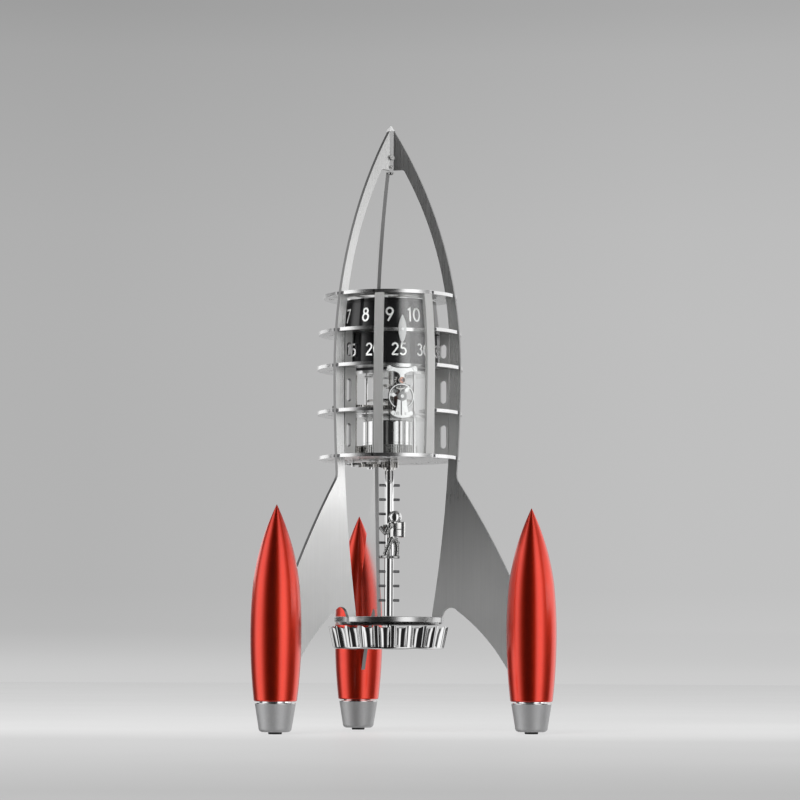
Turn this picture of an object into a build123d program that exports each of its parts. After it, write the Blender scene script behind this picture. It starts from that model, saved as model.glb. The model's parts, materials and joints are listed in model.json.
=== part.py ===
"""Rocket-shaped mechanical desk clock: skeleton body on three pods, two display drums.

Millimetres, +Z up. The origin is the foot of the rocket's axis on the surface it stands on.
The front (pointer, regulator and window) faces -Y. A heading is an angle about the axis,
counted from the front towards the right (+X).
"""
from build123d import *
from math import acos, atan2, cos, degrees, pi, radians, sin, sqrt, tan
import os

# ---- Driving dimensions -------------------------------------------------------------------
FIN_HEADINGS = {"left": -60, "right": 60, "rear": 180}
POD_CIRCLE = 100.0          # radius of the circle the three pods stand on
TIP_HEIGHT = 414.0          # top of the nose
BODY_RADIUS = 50.2          # widest fin radius
BODY_HEIGHT = 244.0         # height of the widest section
NOSE_ARC = 312.0            # radius of the outline above the widest section
SKIRT_ARC = 1000.0          # radius of the outline below it
FIN_THICK = 2.5
RING_THICK = 2.3
RING_INSET = 0.5            # ring edges stand this far inside the fin outline
RING_HEIGHTS = [295.0, 270.0, 246.0, 215.5, 185.0]
RING_BORE = 31.5
POST_HEADING = 21.5
POST_WIDTH = 6.0
POST_DEPTH = 3.0
WINDOW_HALF = 26.3          # half angle of the opening in the middle rings
RUN = 0.05                  # radial running clearance
DRUM_WALL = 0.8
COLUMN_RADIUS = 3.175
SHAFT_RADIUS = 2.1
CROWN_TOP = 71.7
CROWN_BOTTOM = 56.3
DISC_TOP = 77.7
DISC_RADIUS = 37.1
RUNG_PITCH = 9.75
RUNG_COUNT = 9
RUNG_TOP = 167.1
GOING_AXIS_RADIUS = 1.2
ESCAPE_HEIGHT = 235.6
PALLET_HEIGHT = 229.8
BALANCE_HEIGHT = 224.8
BALANCE_RADIUS = 8.2
PRESSURE = radians(20)      # pressure angle of the gears
SLACK = 0.10                # tooth thinning at the pitch circle

# Gear trains: (teeth of the driving wheel, teeth of the pinion, module)
BARREL_STAGE = (72, 18, 0.52)
SECOND_STAGE = (60, 30, 0.52)
CENTRE_STAGE = (60, 18, 0.50)
CANNON_STAGE = (54, 18, 0.35)
HOUR_STAGE = (72, 18, 0.28)
SETTING_STAGE = (46, 18, 0.70)
WINDING_STAGE = (24, 18, 0.62)
CONTRATE_TEETH = 48
CONTRATE_PITCH = 1.2
ESCAPE_LEAVES = 12


def stage_distance(stage):
    """Centre distance of a gear pair."""
    wheel, pinion, module = stage
    return (wheel + pinion) * module / 2


SECOND_HEADING = -92
SECOND_DISTANCE = stage_distance(BARREL_STAGE)
THIRD_DISTANCE = stage_distance(CENTRE_STAGE)
MOTION_HEADING = 180
MOTION_DISTANCE = stage_distance(CANNON_STAGE)
SETTING_HEADING = 3
SETTING_DISTANCE = stage_distance(SETTING_STAGE)
RATCHET_HEADING = -102
RATCHET_DISTANCE = stage_distance(WINDING_STAGE)
PILLAR_HEADINGS = (-38, 30, 150, -150)
PILLAR_CIRCLE = 24.0


# ---- Places and outlines ------------------------------------------------------------------
def at(heading, radius, height=0.0):
    """Point at a heading, a radius from the axis and a height."""
    a = radians(heading)
    return (radius * sin(a), -radius * cos(a), height)


def upright(heading):
    """Upright plane through the axis: local x runs outward, local y up."""
    a = radians(heading)
    return Plane(origin=(0, 0, 0), x_dir=(sin(a), -cos(a), 0), z_dir=(-cos(a), -sin(a), 0))


def facing(depth):
    """Plane facing the front at y = -depth: local x is +X, local y is up."""
    return Plane(origin=(0, -depth, 0), x_dir=(1, 0, 0), z_dir=(0, -1, 0))


def regulator_plane(depth, height):
    """Front-facing plane centred at a height on the axis of the regulator."""
    return Plane(origin=(0, -depth, height), x_dir=(1, 0, 0), z_dir=(0, -1, 0))


def outline(height):
    """Radius of the rocket's outline at a height in the barrel or the nose."""
    arc = NOSE_ARC if height > BODY_HEIGHT else SKIRT_ARC
    return BODY_RADIUS - arc + sqrt(arc ** 2 - (height - BODY_HEIGHT) ** 2)


def outline_arc(low, high, inset=0.0):
    """Arc along the outline between two heights, for use inside BuildLine."""
    middle = (low + high) / 2
    ends = [(outline(h) - inset, h) for h in (low, middle, high)]
    return ThreePointArc(*ends)


def gear_corners(teeth, module, turned=0.0, addendum=1.0, dedendum=1.3):
    """Corners of an involute gear with two straight stretches for each flank."""
    pitch = module * teeth / 2
    base = pitch * cos(PRESSURE)
    tip = pitch + addendum * module
    root = pitch - dedendum * module

    def half_tooth(radius):
        angle = acos(min(1.0, base / max(radius, base)))
        return pi / (2 * teeth) - SLACK / (2 * pitch) + tan(PRESSURE) - PRESSURE - tan(angle) + angle

    corners = []
    for tooth in range(teeth):
        centre = 2 * pi * tooth / teeth + radians(turned)
        flank = [(root, half_tooth(root)), (pitch, half_tooth(pitch)), (tip, half_tooth(tip))]
        for radius, half in flank:
            corners.append((radius * cos(centre - half), radius * sin(centre - half)))
        for radius, half in reversed(flank):
            corners.append((radius * cos(centre + half), radius * sin(centre + half)))
    return corners


def gear_face(teeth, module, turned=0.0):
    """Gear outline as a sketch face at the current location."""
    with BuildLine() as rim:
        Polyline(*gear_corners(teeth, module, turned), close=True)
    make_face(rim.edges())


def mesh_turn(heading, wheel_turned, wheel_teeth, pinion_teeth):
    """Turn of a pinion at a heading so that one of its gaps faces the wheel's tooth."""
    line = heading - 90
    phase = (line - wheel_turned) * wheel_teeth / 360
    return line + 180 + (phase - 0.5) * 360 / pinion_teeth


def save(name, builder):
    """Label one finished piece and write its STEP file."""
    builder.part.label = name
    export_step(builder.part, f"parts/{name}.step")


os.makedirs("parts", exist_ok=True)

# ---- Fins: laser-cut upright plates from the nose post to the pods -------------------------
NOSE_BORE = 2.25            # the fins' inner edge, on the flats of the nose post
FIN_TOP = 409.5
GUSSET_BOTTOM = 383.0
BAND_RADIUS = 42.6          # inner edge of the fin along the body
LEG_BOTTOM = 73.0
TONGUE = 90.0               # how far the fin reaches into its pod


def fin_face():
    """Fin outline in (radius, height)."""
    with BuildLine() as rim:
        outline_arc(BODY_HEIGHT, FIN_TOP)
        outline_arc(171.0, BODY_HEIGHT)
        kink = (outline(171.0), 171.0)
        ThreePointArc(kink, (66.3, 140.6), (85.3, 104.4))
        Polyline((85.3, 104.4), (TONGUE, 100), (TONGUE, 46), (84.3, 41.6))
        ThreePointArc((84.3, 41.6), (67.6, 64.9), (48.6, 82.0))
        ThreePointArc((48.6, 82.0), (43.4, 84.0), (38.6, 79.8))
        Polyline((38.6, 79.8), (DISC_RADIUS, 77.0), (DISC_RADIUS, LEG_BOTTOM))
        Polyline((DISC_RADIUS, LEG_BOTTOM), (30.6, LEG_BOTTOM), (31.2, 81.1))
        ThreePointArc((31.2, 81.1), (37.9, 131.0), (41.9, 180.0))
        ThreePointArc((41.9, 180.0), (BAND_RADIUS, 215.0), (BAND_RADIUS, 250.0))
        ThreePointArc((BAND_RADIUS, 250.0), (30.2, 335.5), (9.4, GUSSET_BOTTOM))
        Polyline((9.4, GUSSET_BOTTOM), (NOSE_BORE, GUSSET_BOTTOM), (NOSE_BORE, FIN_TOP))
        Line((NOSE_BORE, FIN_TOP), (outline(FIN_TOP), FIN_TOP))
    make_face(rim.edges())


for side, heading in FIN_HEADINGS.items():
    with BuildPart() as fin:
        with BuildSketch(upright(heading)) as plate:
            fin_face()
            fillet(plate.vertices().sort_by_distance((outline(171.0), 171.0))[0], radius=9)
            fillet(plate.vertices().sort_by_distance((9.4, GUSSET_BOTTOM))[0], radius=2.5)
        extrude(amount=FIN_THICK / 2, both=True)
    save(f"fin_{side}", fin)

# ---- Pods, their feet and pads --------------------------------------------------------------
POD_TIP = 150.5
POD_BOTTOM = 21.3
NECK_RADIUS = 10.5
STUD_RADIUS = 2.0
PAD_RADIUS = 4.5
for side, heading in FIN_HEADINGS.items():
    axis_plane = Plane(origin=at(heading, POD_CIRCLE), x_dir=at(heading, 1), z_dir=upright(heading).z_dir)
    with BuildPart() as pod:
        with BuildSketch(axis_plane):
            with BuildLine():
                lower = ThreePointArc((14.65, 27.0), (16.3, 45.4), (16.85, 67.0))
                middle = ThreePointArc((16.85, 67.0), (16.44, 83.5), (15.2, 100.0))
                TangentArc((15.2, 100.0), (0, POD_TIP), tangent=middle % 1)
                Line((0, POD_TIP), (0, POD_BOTTOM))
                Line((0, POD_BOTTOM), (11.6, POD_BOTTOM))
                ThreePointArc((11.6, POD_BOTTOM), (13.75, 23.2), (14.65, 27.0))
            make_face()
        revolve(axis=Axis(axis_plane.origin, (0, 0, 1)))
        with BuildSketch(upright(heading)):
            fin_face()
        extrude(amount=FIN_THICK / 2 + RUN, both=True, mode=Mode.SUBTRACT)
        with BuildSketch(Plane(axis_plane.origin).offset(POD_BOTTOM)):
            Circle(STUD_RADIUS)
        extrude(amount=12, mode=Mode.SUBTRACT)
    save(f"pod_{side}", pod)

    with BuildPart() as foot:
        with BuildSketch(axis_plane):
            with BuildLine():
                Polyline(
                    (0, POD_BOTTOM + 11), (STUD_RADIUS, POD_BOTTOM + 11), (STUD_RADIUS, POD_BOTTOM),
                    (NECK_RADIUS, POD_BOTTOM), (NECK_RADIUS, 19.7), (12.8, 19.7), (13.4, 19.0), (10.9, 4.2),
                )
                ThreePointArc((10.9, 4.2), (10.0, 2.1), (8.6, 1.4))
                Polyline((8.6, 1.4), (PAD_RADIUS, 1.4), (PAD_RADIUS, 3.0), (0, 3.0), (0, POD_BOTTOM + 11))
            make_face()
        revolve(axis=Axis(axis_plane.origin, (0, 0, 1)))
    save(f"pod_foot_{side}", foot)

with BuildPart() as foot_pads:
    with BuildSketch(Plane.XY):
        with Locations(*[at(heading, POD_CIRCLE) for heading in FIN_HEADINGS.values()]):
            Circle(PAD_RADIUS)
    extrude(amount=3.0)
    chamfer(foot_pads.faces().sort_by(Axis.Z)[:3].edges(), length=0.3)
save("foot_pads", foot_pads)

# ---- Nose: faceted tip, hexagonal post and its fasteners -------------------------------------
POST_BOTTOM = 381.5
TIP_BASE = 409.9
with BuildPart() as nose_post:
    with BuildSketch(Plane.XY.offset(POST_BOTTOM)):
        RegularPolygon(radius=NOSE_BORE, side_count=6, major_radius=False)
    extrude(amount=TIP_BASE - POST_BOTTOM)
    with BuildSketch(facing(NOSE_BORE)):
        with Locations((0, 391.7), (0, 385.2)):
            Circle(0.7)
    extrude(amount=-1.6, mode=Mode.SUBTRACT)
    with BuildSketch(Plane.XY.offset(POST_BOTTOM)):
        Circle(0.8)
    extrude(amount=2.0, mode=Mode.SUBTRACT)
save("nose_post", nose_post)

with BuildPart() as nose_tip:
    with BuildSketch(Plane.XY.offset(TIP_BASE)):
        RegularPolygon(radius=3.1, side_count=6, major_radius=False)
    with BuildSketch(Plane.XY.offset(TIP_HEIGHT)):
        RegularPolygon(radius=0.12, side_count=6, major_radius=False)
    loft()
save("nose_tip", nose_tip)

with BuildPart() as nose_fasteners:
    for height, head, seat in ((391.7, 1.7, NOSE_BORE + 0.5), (385.2, 1.1, NOSE_BORE)):
        with BuildSketch(facing(NOSE_BORE - 1.5)):
            with Locations((0, height)):
                Circle(0.7)
        extrude(amount=seat - NOSE_BORE + 1.9)
        with BuildSketch(facing(seat)):
            with Locations((0, height)):
                Circle(head)
        extrude(amount=0.8)
        with BuildSketch(facing(seat + 0.8)):
            with Locations((0, height)):
                Rectangle(3 * head, 0.35, rotation=20)
        extrude(amount=-0.4, mode=Mode.SUBTRACT)
    with BuildSketch(Plane.XY.offset(POST_BOTTOM)):
        Circle(0.8)
    extrude(amount=1.9)
    with BuildSketch(Plane.XY.offset(379.9)):
        Circle(2.0)
    extrude(amount=POST_BOTTOM - 379.9)
    chamfer(nose_fasteners.faces().sort_by(Axis.Z)[0].edges(), length=0.5)
save("nose_fasteners", nose_fasteners)

# ---- Ring plates -----------------------------------------------------------------------------
NOTCH_WIDTH = 5.0
NOTCH_REACH = 14.0
NOTCH_STARTS = [38.8, 41.6, 42.4, 42.4, 41.9]
LIGHT_HOLE = 1.75
LIGHT_CIRCLE = 40.2
RECESS = 37.2               # recessed front edge of the two rings beside the drums
HUB_BORE = 2.0 + 0.6


def ring_sketch(height, bore, notch):
    """One ring plate's face with fin notches and a circle of small holes."""
    Circle(outline(height) - RING_INSET)
    if bore:
        Circle(bore, mode=Mode.SUBTRACT)
    with PolarLocations(notch + NOTCH_REACH / 2, 3, start_angle=-30):
        Rectangle(NOTCH_REACH, NOTCH_WIDTH, mode=Mode.SUBTRACT)
    for side in FIN_HEADINGS.values():
        for step in (-40, -20, 20, 40):
            with Locations(at(side + step, LIGHT_CIRCLE)[:2]):
                Circle(LIGHT_HOLE, mode=Mode.SUBTRACT)


def front_opening(height, radius):
    """Cut the front of a ring away outside a radius, between the posts."""
    far = 60.0
    left, right = at(-WINDOW_HALF, far), at(WINDOW_HALF, far)
    with BuildSketch(Plane.XY.offset(height - RING_THICK / 2)) as opening:
        Polygon((0, 0), left[:2], right[:2], align=None)
        Circle(radius, mode=Mode.SUBTRACT)
    extrude(opening.sketch, amount=RING_THICK, mode=Mode.SUBTRACT)


def hub_arms(height, hub, bore):
    """Three arms and a hub in the middle of a ring."""
    with BuildSketch(Plane.XY.offset(height - RING_THICK / 2)) as spider:
        Circle(hub)
        with PolarLocations(RING_BORE / 2 + 1, 3, start_angle=-30):
            Rectangle(RING_BORE, 5)
        Circle(bore, mode=Mode.SUBTRACT)
    extrude(spider.sketch, amount=RING_THICK)


for number, height in enumerate(RING_HEIGHTS, start=1):
    base = number == 5
    with BuildPart() as ring:
        with BuildSketch(Plane.XY.offset(height - RING_THICK / 2)):
            ring_sketch(height, SHAFT_RADIUS + RUN if base else RING_BORE, NOTCH_STARTS[number - 1])
        extrude(amount=RING_THICK)
        if number == 1:
            hub_arms(height, 5.0, GOING_AXIS_RADIUS + RUN)
            with BuildSketch(Plane.XY.offset(height - RING_THICK / 2)):
                with Locations(at(SETTING_HEADING, SETTING_DISTANCE)[:2]):
                    Circle(3.4)
                with Locations(at(SETTING_HEADING, 27)[:2]):
                    Rectangle(12, 4, rotation=SETTING_HEADING - 90)
            extrude(amount=RING_THICK)
            with Locations(at(SETTING_HEADING, SETTING_DISTANCE, height)):
                Cylinder(1.0, 2 * RING_THICK, mode=Mode.SUBTRACT)
        if number == 2:
            hub_arms(height, 5.0, HUB_BORE)
            front_opening(height, RECESS)
            with Locations(at(MOTION_HEADING, MOTION_DISTANCE, height)):
                Cylinder(0.8, 2 * RING_THICK, mode=Mode.SUBTRACT)
            with Locations(at(0, RECESS - 1, height)):
                Cylinder(0.6, 4, rotation=(90, 0, 0), mode=Mode.SUBTRACT)
        if number == 3:
            front_opening(height, 35.0)
        if number == 4:
            front_opening(height, RING_BORE - 1)
        if base:
            for side in (0, 120, -120):
                with Locations(at(side - 14, 33.5, height), at(side + 14, 33.5, height)):
                    Cylinder(3.6, 2 * RING_THICK, mode=Mode.SUBTRACT)
            with Locations(at(SECOND_HEADING, SECOND_DISTANCE, height)):
                Cylinder(0.8 + RUN, 2 * RING_THICK, mode=Mode.SUBTRACT)
            with Locations(at(RATCHET_HEADING, RATCHET_DISTANCE, height)):
                Cylinder(1.0, 2 * RING_THICK, mode=Mode.SUBTRACT)
    save(f"ring_plate_{number}", ring)

# ---- Front posts, window and the slotted panels between the rings ---------------------------
POST_LOW = RING_HEIGHTS[4] + RING_THICK / 2
POST_HIGH = RING_HEIGHTS[0] - RING_THICK / 2
for side, heading in (("left", -POST_HEADING), ("right", POST_HEADING)):
    with BuildPart() as post:
        with BuildSketch(upright(heading)):
            with BuildLine():
                for inset in (RING_INSET, RING_INSET + POST_DEPTH):
                    outline_arc(POST_LOW, BODY_HEIGHT, inset)
                    outline_arc(BODY_HEIGHT, POST_HIGH, inset)
                for height in (POST_LOW, POST_HIGH):
                    outer = outline(height) - RING_INSET
                    Line((outer, height), (outer - POST_DEPTH, height))
            make_face()
        extrude(amount=POST_WIDTH / 2, both=True)
    save(f"front_post_{side}", post)

GLASS_OUT = 1.8
GLASS_IN = 2.6
GLASS_HALF = 17.4
with BuildPart() as window_glass:
    with BuildSketch(upright(-GLASS_HALF)):
        with BuildLine():
            for inset in (GLASS_OUT, GLASS_IN):
                outline_arc(POST_LOW, BODY_HEIGHT, inset)
                outline_arc(BODY_HEIGHT, POST_HIGH, inset)
            for height in (POST_LOW, POST_HIGH):
                Line((outline(height) - GLASS_OUT, height), (outline(height) - GLASS_IN, height))
        make_face()
    revolve(axis=Axis.Z, revolution_arc=2 * GLASS_HALF)
save("window_glass", window_glass)

PANEL_OUT = 41.9
panels = [
    (1, 2, 35.6, 257.3, 9.4),
    (2, 3, 32.2, 229.7, 15.5),
    (3, 4, 32.2, 199.3, 15.8),
]
for side, heading in FIN_HEADINGS.items():
    with BuildPart() as panel:
        for upper, lower, inner, slot_height, slot_length in panels:
            top = RING_HEIGHTS[upper] - RING_THICK / 2
            bottom = RING_HEIGHTS[lower] + RING_THICK / 2
            with BuildSketch(upright(heading)):
                with Locations(((inner + PANEL_OUT) / 2, (top + bottom) / 2)):
                    Rectangle(PANEL_OUT - inner, top - bottom)
                with Locations((38.3, slot_height)):
                    SlotOverall(slot_length, 4.2, rotation=90, mode=Mode.SUBTRACT)
            extrude(amount=FIN_THICK / 2, both=True)
    save(f"panel_{side}", panel)

# ---- Movement frame: pillars, barrel bridge and train bridge ---------------------------------
BRIDGE_LOW = 212.0
BRIDGE_THICK = 2.0
TRAIN_LOW = 241.5
PLATE_TOP = RING_HEIGHTS[4] + RING_THICK / 2
PLATE_BOTTOM = RING_HEIGHTS[4] - RING_THICK / 2
REGULATOR_BACK = 30.0
REGULATOR_FACE = 31.2
BELL_BACK = 37.4
COCK_BACK = 37.0
COCK_WIDTH = 21.0
SCREW_RADIUS = 0.5
COCK_SCREWS = [(-8.6, TRAIN_LOW + 1), (8.6, TRAIN_LOW + 1)]
BELL_SCREWS = [(-2.9, 213.2), (2.9, 213.2)]
pillar_places = [at(heading, PILLAR_CIRCLE) for heading in PILLAR_HEADINGS]
with BuildPart() as movement_pillars:
    with BuildSketch(Plane.XY.offset(PLATE_TOP)):
        with Locations(*pillar_places):
            Circle(1.5)
    extrude(amount=BRIDGE_LOW - PLATE_TOP)
    with BuildSketch(Plane.XY.offset(BRIDGE_LOW)):
        with Locations(*pillar_places):
            Circle(1.1)
    extrude(amount=TRAIN_LOW - BRIDGE_LOW)
save("movement_pillars", movement_pillars)

with BuildPart() as barrel_bridge:
    with BuildSketch(Plane.XY.offset(BRIDGE_LOW)):
        Circle(27.5)
        with Locations((0, -BELL_BACK / 2)):
            Rectangle(11.5, BELL_BACK)
        with Locations(*pillar_places):
            Circle(1.1, mode=Mode.SUBTRACT)
        Circle(1.0, mode=Mode.SUBTRACT)
        with Locations(at(SECOND_HEADING, SECOND_DISTANCE)[:2]):
            Circle(2.0, mode=Mode.SUBTRACT)
        with Locations((0, -THIRD_DISTANCE)):
            Circle(0.8 + RUN, mode=Mode.SUBTRACT)
        with Locations(*[at(heading, 15) for heading in (90, 150, 210, 270)]):
            Circle(4.0, mode=Mode.SUBTRACT)
    extrude(amount=BRIDGE_THICK)
    with BuildSketch(facing(BELL_BACK)):
        with Locations(*BELL_SCREWS):
            Circle(SCREW_RADIUS)
    extrude(amount=-1.4, mode=Mode.SUBTRACT)
save("barrel_bridge", barrel_bridge)

with BuildPart() as train_bridge:
    with BuildSketch(Plane.XY.offset(TRAIN_LOW)):
        Circle(27.5)
        with Locations((0, -COCK_BACK / 2)):
            Rectangle(COCK_WIDTH, COCK_BACK)
        Circle(GOING_AXIS_RADIUS + RUN, mode=Mode.SUBTRACT)
        with Locations(at(SECOND_HEADING, SECOND_DISTANCE)[:2], (0, -THIRD_DISTANCE)):
            Circle(0.8 + RUN, mode=Mode.SUBTRACT)
        with Locations(*[at(heading, 14) for heading in (60, 120, 180, 240, 300)]):
            Circle(4.5, mode=Mode.SUBTRACT)
    extrude(amount=BRIDGE_THICK)
    with BuildSketch(facing(COCK_BACK)):
        with Locations(*COCK_SCREWS):
            Circle(SCREW_RADIUS)
    extrude(amount=-1.4, mode=Mode.SUBTRACT)
save("train_bridge", train_bridge)

# ---- Barrel and its winding ------------------------------------------------------------------
BARREL_LOW = 188.2
BARREL_HIGH = 210.2
BARREL_RADIUS = 18.4
BARREL_TEETH = 5.6          # height of the toothed band
ARBOR_RADIUS = 5.0
COVER_THICK = 1.2
with BuildPart() as barrel:
    with BuildSketch(Plane.XY.offset(BARREL_LOW)):
        gear_face(BARREL_STAGE[0], BARREL_STAGE[2])
    extrude(amount=BARREL_TEETH)
    with BuildSketch(Plane.XY.offset(BARREL_LOW + BARREL_TEETH)):
        Circle(BARREL_RADIUS)
    extrude(amount=BARREL_HIGH - BARREL_LOW - BARREL_TEETH)
    with BuildSketch(Plane.XY.offset(BARREL_LOW)):
        Circle(BARREL_RADIUS - 1.4)
    extrude(amount=BARREL_HIGH - BARREL_LOW - 1.4, mode=Mode.SUBTRACT)
    with BuildSketch(Plane.XY.offset(BARREL_LOW)):
        Circle(SHAFT_RADIUS + RUN)
    extrude(amount=BARREL_HIGH - BARREL_LOW, mode=Mode.SUBTRACT)
    chamfer(barrel.faces().sort_by(Axis.Z)[-1].edges().sort_by(SortBy.LENGTH)[-1], length=0.4)
save("barrel", barrel)

with BuildPart() as barrel_cover:
    with BuildSketch(Plane.XY.offset(BARREL_LOW)):
        Circle(BARREL_RADIUS - 1.4)
        Circle(SHAFT_RADIUS + RUN, mode=Mode.SUBTRACT)
    extrude(amount=COVER_THICK)
save("barrel_cover", barrel_cover)


def spiral_ribbon(inner, turns, growth, thick):
    """Ribbon wound as half circles of growing radius, a face at the current location."""
    with BuildLine() as rim:
        ends = []
        for side in (-thick / 2, thick / 2):
            x = inner + side
            start = x
            for half in range(2 * turns):
                radius = inner + growth * (half + 0.5) / 2 + side
                sign = 1 if half % 2 == 0 else -1
                far = x - sign * 2 * radius
                middle = ((x + far) / 2, sign * radius)
                ThreePointArc((x, 0), middle, (far, 0))
                x = far
            ends.append((start, x))
        Line((ends[0][0], 0), (ends[1][0], 0))
        Line((ends[0][1], 0), (ends[1][1], 0))
    make_face(rim.edges())


with BuildPart() as mainspring:
    with BuildSketch(Plane.XY.offset(BARREL_LOW + COVER_THICK + 0.6)):
        spiral_ribbon(6.0, 9, 1.1, 0.5)
    extrude(amount=17.0)
save("mainspring", mainspring)

WINDING_LOW = 177.4
WINDING_HIGH = 183.2
with BuildPart() as winding_shaft:
    with BuildSketch(Plane.XY.offset(CROWN_BOTTOM + 3)):
        Circle(SHAFT_RADIUS)
    extrude(amount=BRIDGE_LOW - 0.4 - CROWN_BOTTOM - 3)
    with BuildSketch(Plane.XY.offset(BARREL_LOW + COVER_THICK + 0.4)):
        Circle(ARBOR_RADIUS)
    extrude(amount=18.0)
    with BuildSketch(Plane.XY.offset(BRIDGE_LOW - 0.4)):
        Circle(1.0 - RUN)
    extrude(amount=2.0)
save("winding_shaft", winding_shaft)

with BuildPart() as winding_gear:
    with BuildSketch(Plane.XY.offset(WINDING_LOW + 1.6)):
        gear_face(WINDING_STAGE[1], WINDING_STAGE[2])
    extrude(amount=WINDING_HIGH - WINDING_LOW - 1.6)
    with BuildSketch(Plane.XY.offset(WINDING_LOW)):
        Circle(4.6)
    extrude(amount=1.6)
    with BuildSketch(Plane.XY.offset(WINDING_LOW)):
        Circle(SHAFT_RADIUS)
    extrude(amount=WINDING_HIGH - WINDING_LOW, mode=Mode.SUBTRACT)
save("winding_gear", winding_gear)

RATCHET_TEETH = 20
RATCHET_TIP = 6.6
RATCHET_ROOT = 5.7
ratchet_place = at(RATCHET_HEADING, RATCHET_DISTANCE)
ratchet_turn = mesh_turn(RATCHET_HEADING, 0, WINDING_STAGE[1], WINDING_STAGE[0])
with BuildPart() as ratchet_wheel:
    with BuildSketch(Plane(ratchet_place).offset(WINDING_LOW + 1.8)):
        gear_face(WINDING_STAGE[0], WINDING_STAGE[2], ratchet_turn)
    extrude(amount=2.0)
    with BuildSketch(Plane(ratchet_place).offset(WINDING_LOW + 3.8)):
        with BuildLine():
            step = 2 * pi / RATCHET_TEETH
            saw = []
            for tooth in range(RATCHET_TEETH):
                saw.append((RATCHET_ROOT * cos(tooth * step), RATCHET_ROOT * sin(tooth * step)))
                saw.append((RATCHET_TIP * cos(tooth * step), RATCHET_TIP * sin(tooth * step)))
            Polyline(*saw, close=True)
        make_face()
    extrude(amount=1.4)
    with BuildSketch(Plane(ratchet_place).offset(WINDING_LOW + 1.8)):
        Circle(1.0 + RUN)
    extrude(amount=3.4, mode=Mode.SUBTRACT)
save("ratchet_wheel", ratchet_wheel)

CLICK_HEADING = -118
CLICK_DISTANCE = 25.5
click_place = at(CLICK_HEADING, CLICK_DISTANCE)

reach_x = ratchet_place[0] - click_place[0]
reach_y = ratchet_place[1] - click_place[1]
reach = sqrt(reach_x ** 2 + reach_y ** 2)
toward_ratchet = degrees(atan2(reach_y, reach_x))
with BuildPart() as click:
    with BuildSketch(Plane(click_place).offset(WINDING_LOW + 3.8)):
        Circle(1.9)
        nose = reach - RATCHET_TIP - 0.12
        with Locations(Location((0, 0, 0), (0, 0, toward_ratchet))):
            Polygon((0, -1.9), (nose, -0.5), (nose, 0.9), (0, 1.9), align=None)
        Circle(0.8 + RUN, mode=Mode.SUBTRACT)
    extrude(amount=1.4)
save("click", click)

with BuildPart() as click_spring:
    with BuildSketch(Plane(click_place).offset(WINDING_LOW + 3.9)):
        with Locations(Location((0, 0, 0), (0, 0, toward_ratchet))):
            with BuildLine():
                ThreePointArc((-4.6, 0.0), (0.4, 4.9), (6.4, 3.4))
                ThreePointArc((-5.0, 0.0), (0.4, 5.3), (6.6, 3.8))
                Line((-4.6, 0.0), (-5.0, 0.0))
                Line((6.4, 3.4), (6.6, 3.8))
            make_face()
    extrude(amount=1.2)
    with BuildSketch(Plane(click_place).offset(WINDING_LOW + 3.9)):
        with Locations(Location((0, 0, 0), (0, 0, toward_ratchet))):
            with Locations((-5.6, -0.6)):
                Circle(1.2)
    extrude(amount=PLATE_BOTTOM - WINDING_LOW - 3.9)
save("click_spring", click_spring)

# ---- Going train -----------------------------------------------------------------------------
PINION_LOW = 188.7
SECOND_WHEEL = 219.0
CENTRE_WHEEL = 223.6
HUB_TOP = RING_HEIGHTS[0] + RING_THICK / 2
second_place = at(SECOND_HEADING, SECOND_DISTANCE)
third_place = (0, -THIRD_DISTANCE, 0)
second_turn = mesh_turn(SECOND_HEADING, 0, BARREL_STAGE[0], BARREL_STAGE[1])


def wheel_windows(count, middle, hole, start=0):
    """Round windows in a wheel's web."""
    with PolarLocations(middle, count, start_angle=start):
        Circle(hole, mode=Mode.SUBTRACT)


with BuildPart() as second_wheel:
    with BuildSketch(Plane(second_place).offset(PLATE_BOTTOM + 0.3)):
        Circle(0.8)
    extrude(amount=TRAIN_LOW + BRIDGE_THICK - PLATE_BOTTOM - 0.3)
    with BuildSketch(Plane(second_place).offset(PINION_LOW)):
        gear_face(BARREL_STAGE[1], BARREL_STAGE[2], second_turn)
    extrude(amount=4.6)
    with BuildSketch(Plane(second_place).offset(SECOND_WHEEL)):
        gear_face(SECOND_STAGE[0], SECOND_STAGE[2], second_turn)
        wheel_windows(5, 8.8, 3.6)
    extrude(amount=1.4)
    with BuildSketch(Plane(second_place).offset(SECOND_WHEEL - 1)):
        Circle(3.0)
    extrude(amount=3.4)
save("second_wheel", second_wheel)

centre_turn = mesh_turn(SECOND_HEADING + 180, second_turn, SECOND_STAGE[0], SECOND_STAGE[1])
with BuildPart() as centre_wheel:
    with BuildSketch(Plane.XY.offset(BRIDGE_LOW + BRIDGE_THICK + 0.3)):
        Circle(GOING_AXIS_RADIUS)
    extrude(amount=HUB_TOP - BRIDGE_LOW - BRIDGE_THICK - 0.3)
    with BuildSketch(Plane.XY.offset(SECOND_WHEEL - 0.8)):
        gear_face(SECOND_STAGE[1], SECOND_STAGE[2], centre_turn)
    extrude(amount=3.0)
    with BuildSketch(Plane.XY.offset(CENTRE_WHEEL)):
        gear_face(CENTRE_STAGE[0], CENTRE_STAGE[2])
        wheel_windows(5, 8.4, 3.4)
    extrude(amount=1.4)
    with BuildSketch(Plane.XY.offset(CENTRE_WHEEL - 2)):
        Circle(3.0)
    extrude(amount=4.0)
save("centre_wheel", centre_wheel)

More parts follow.
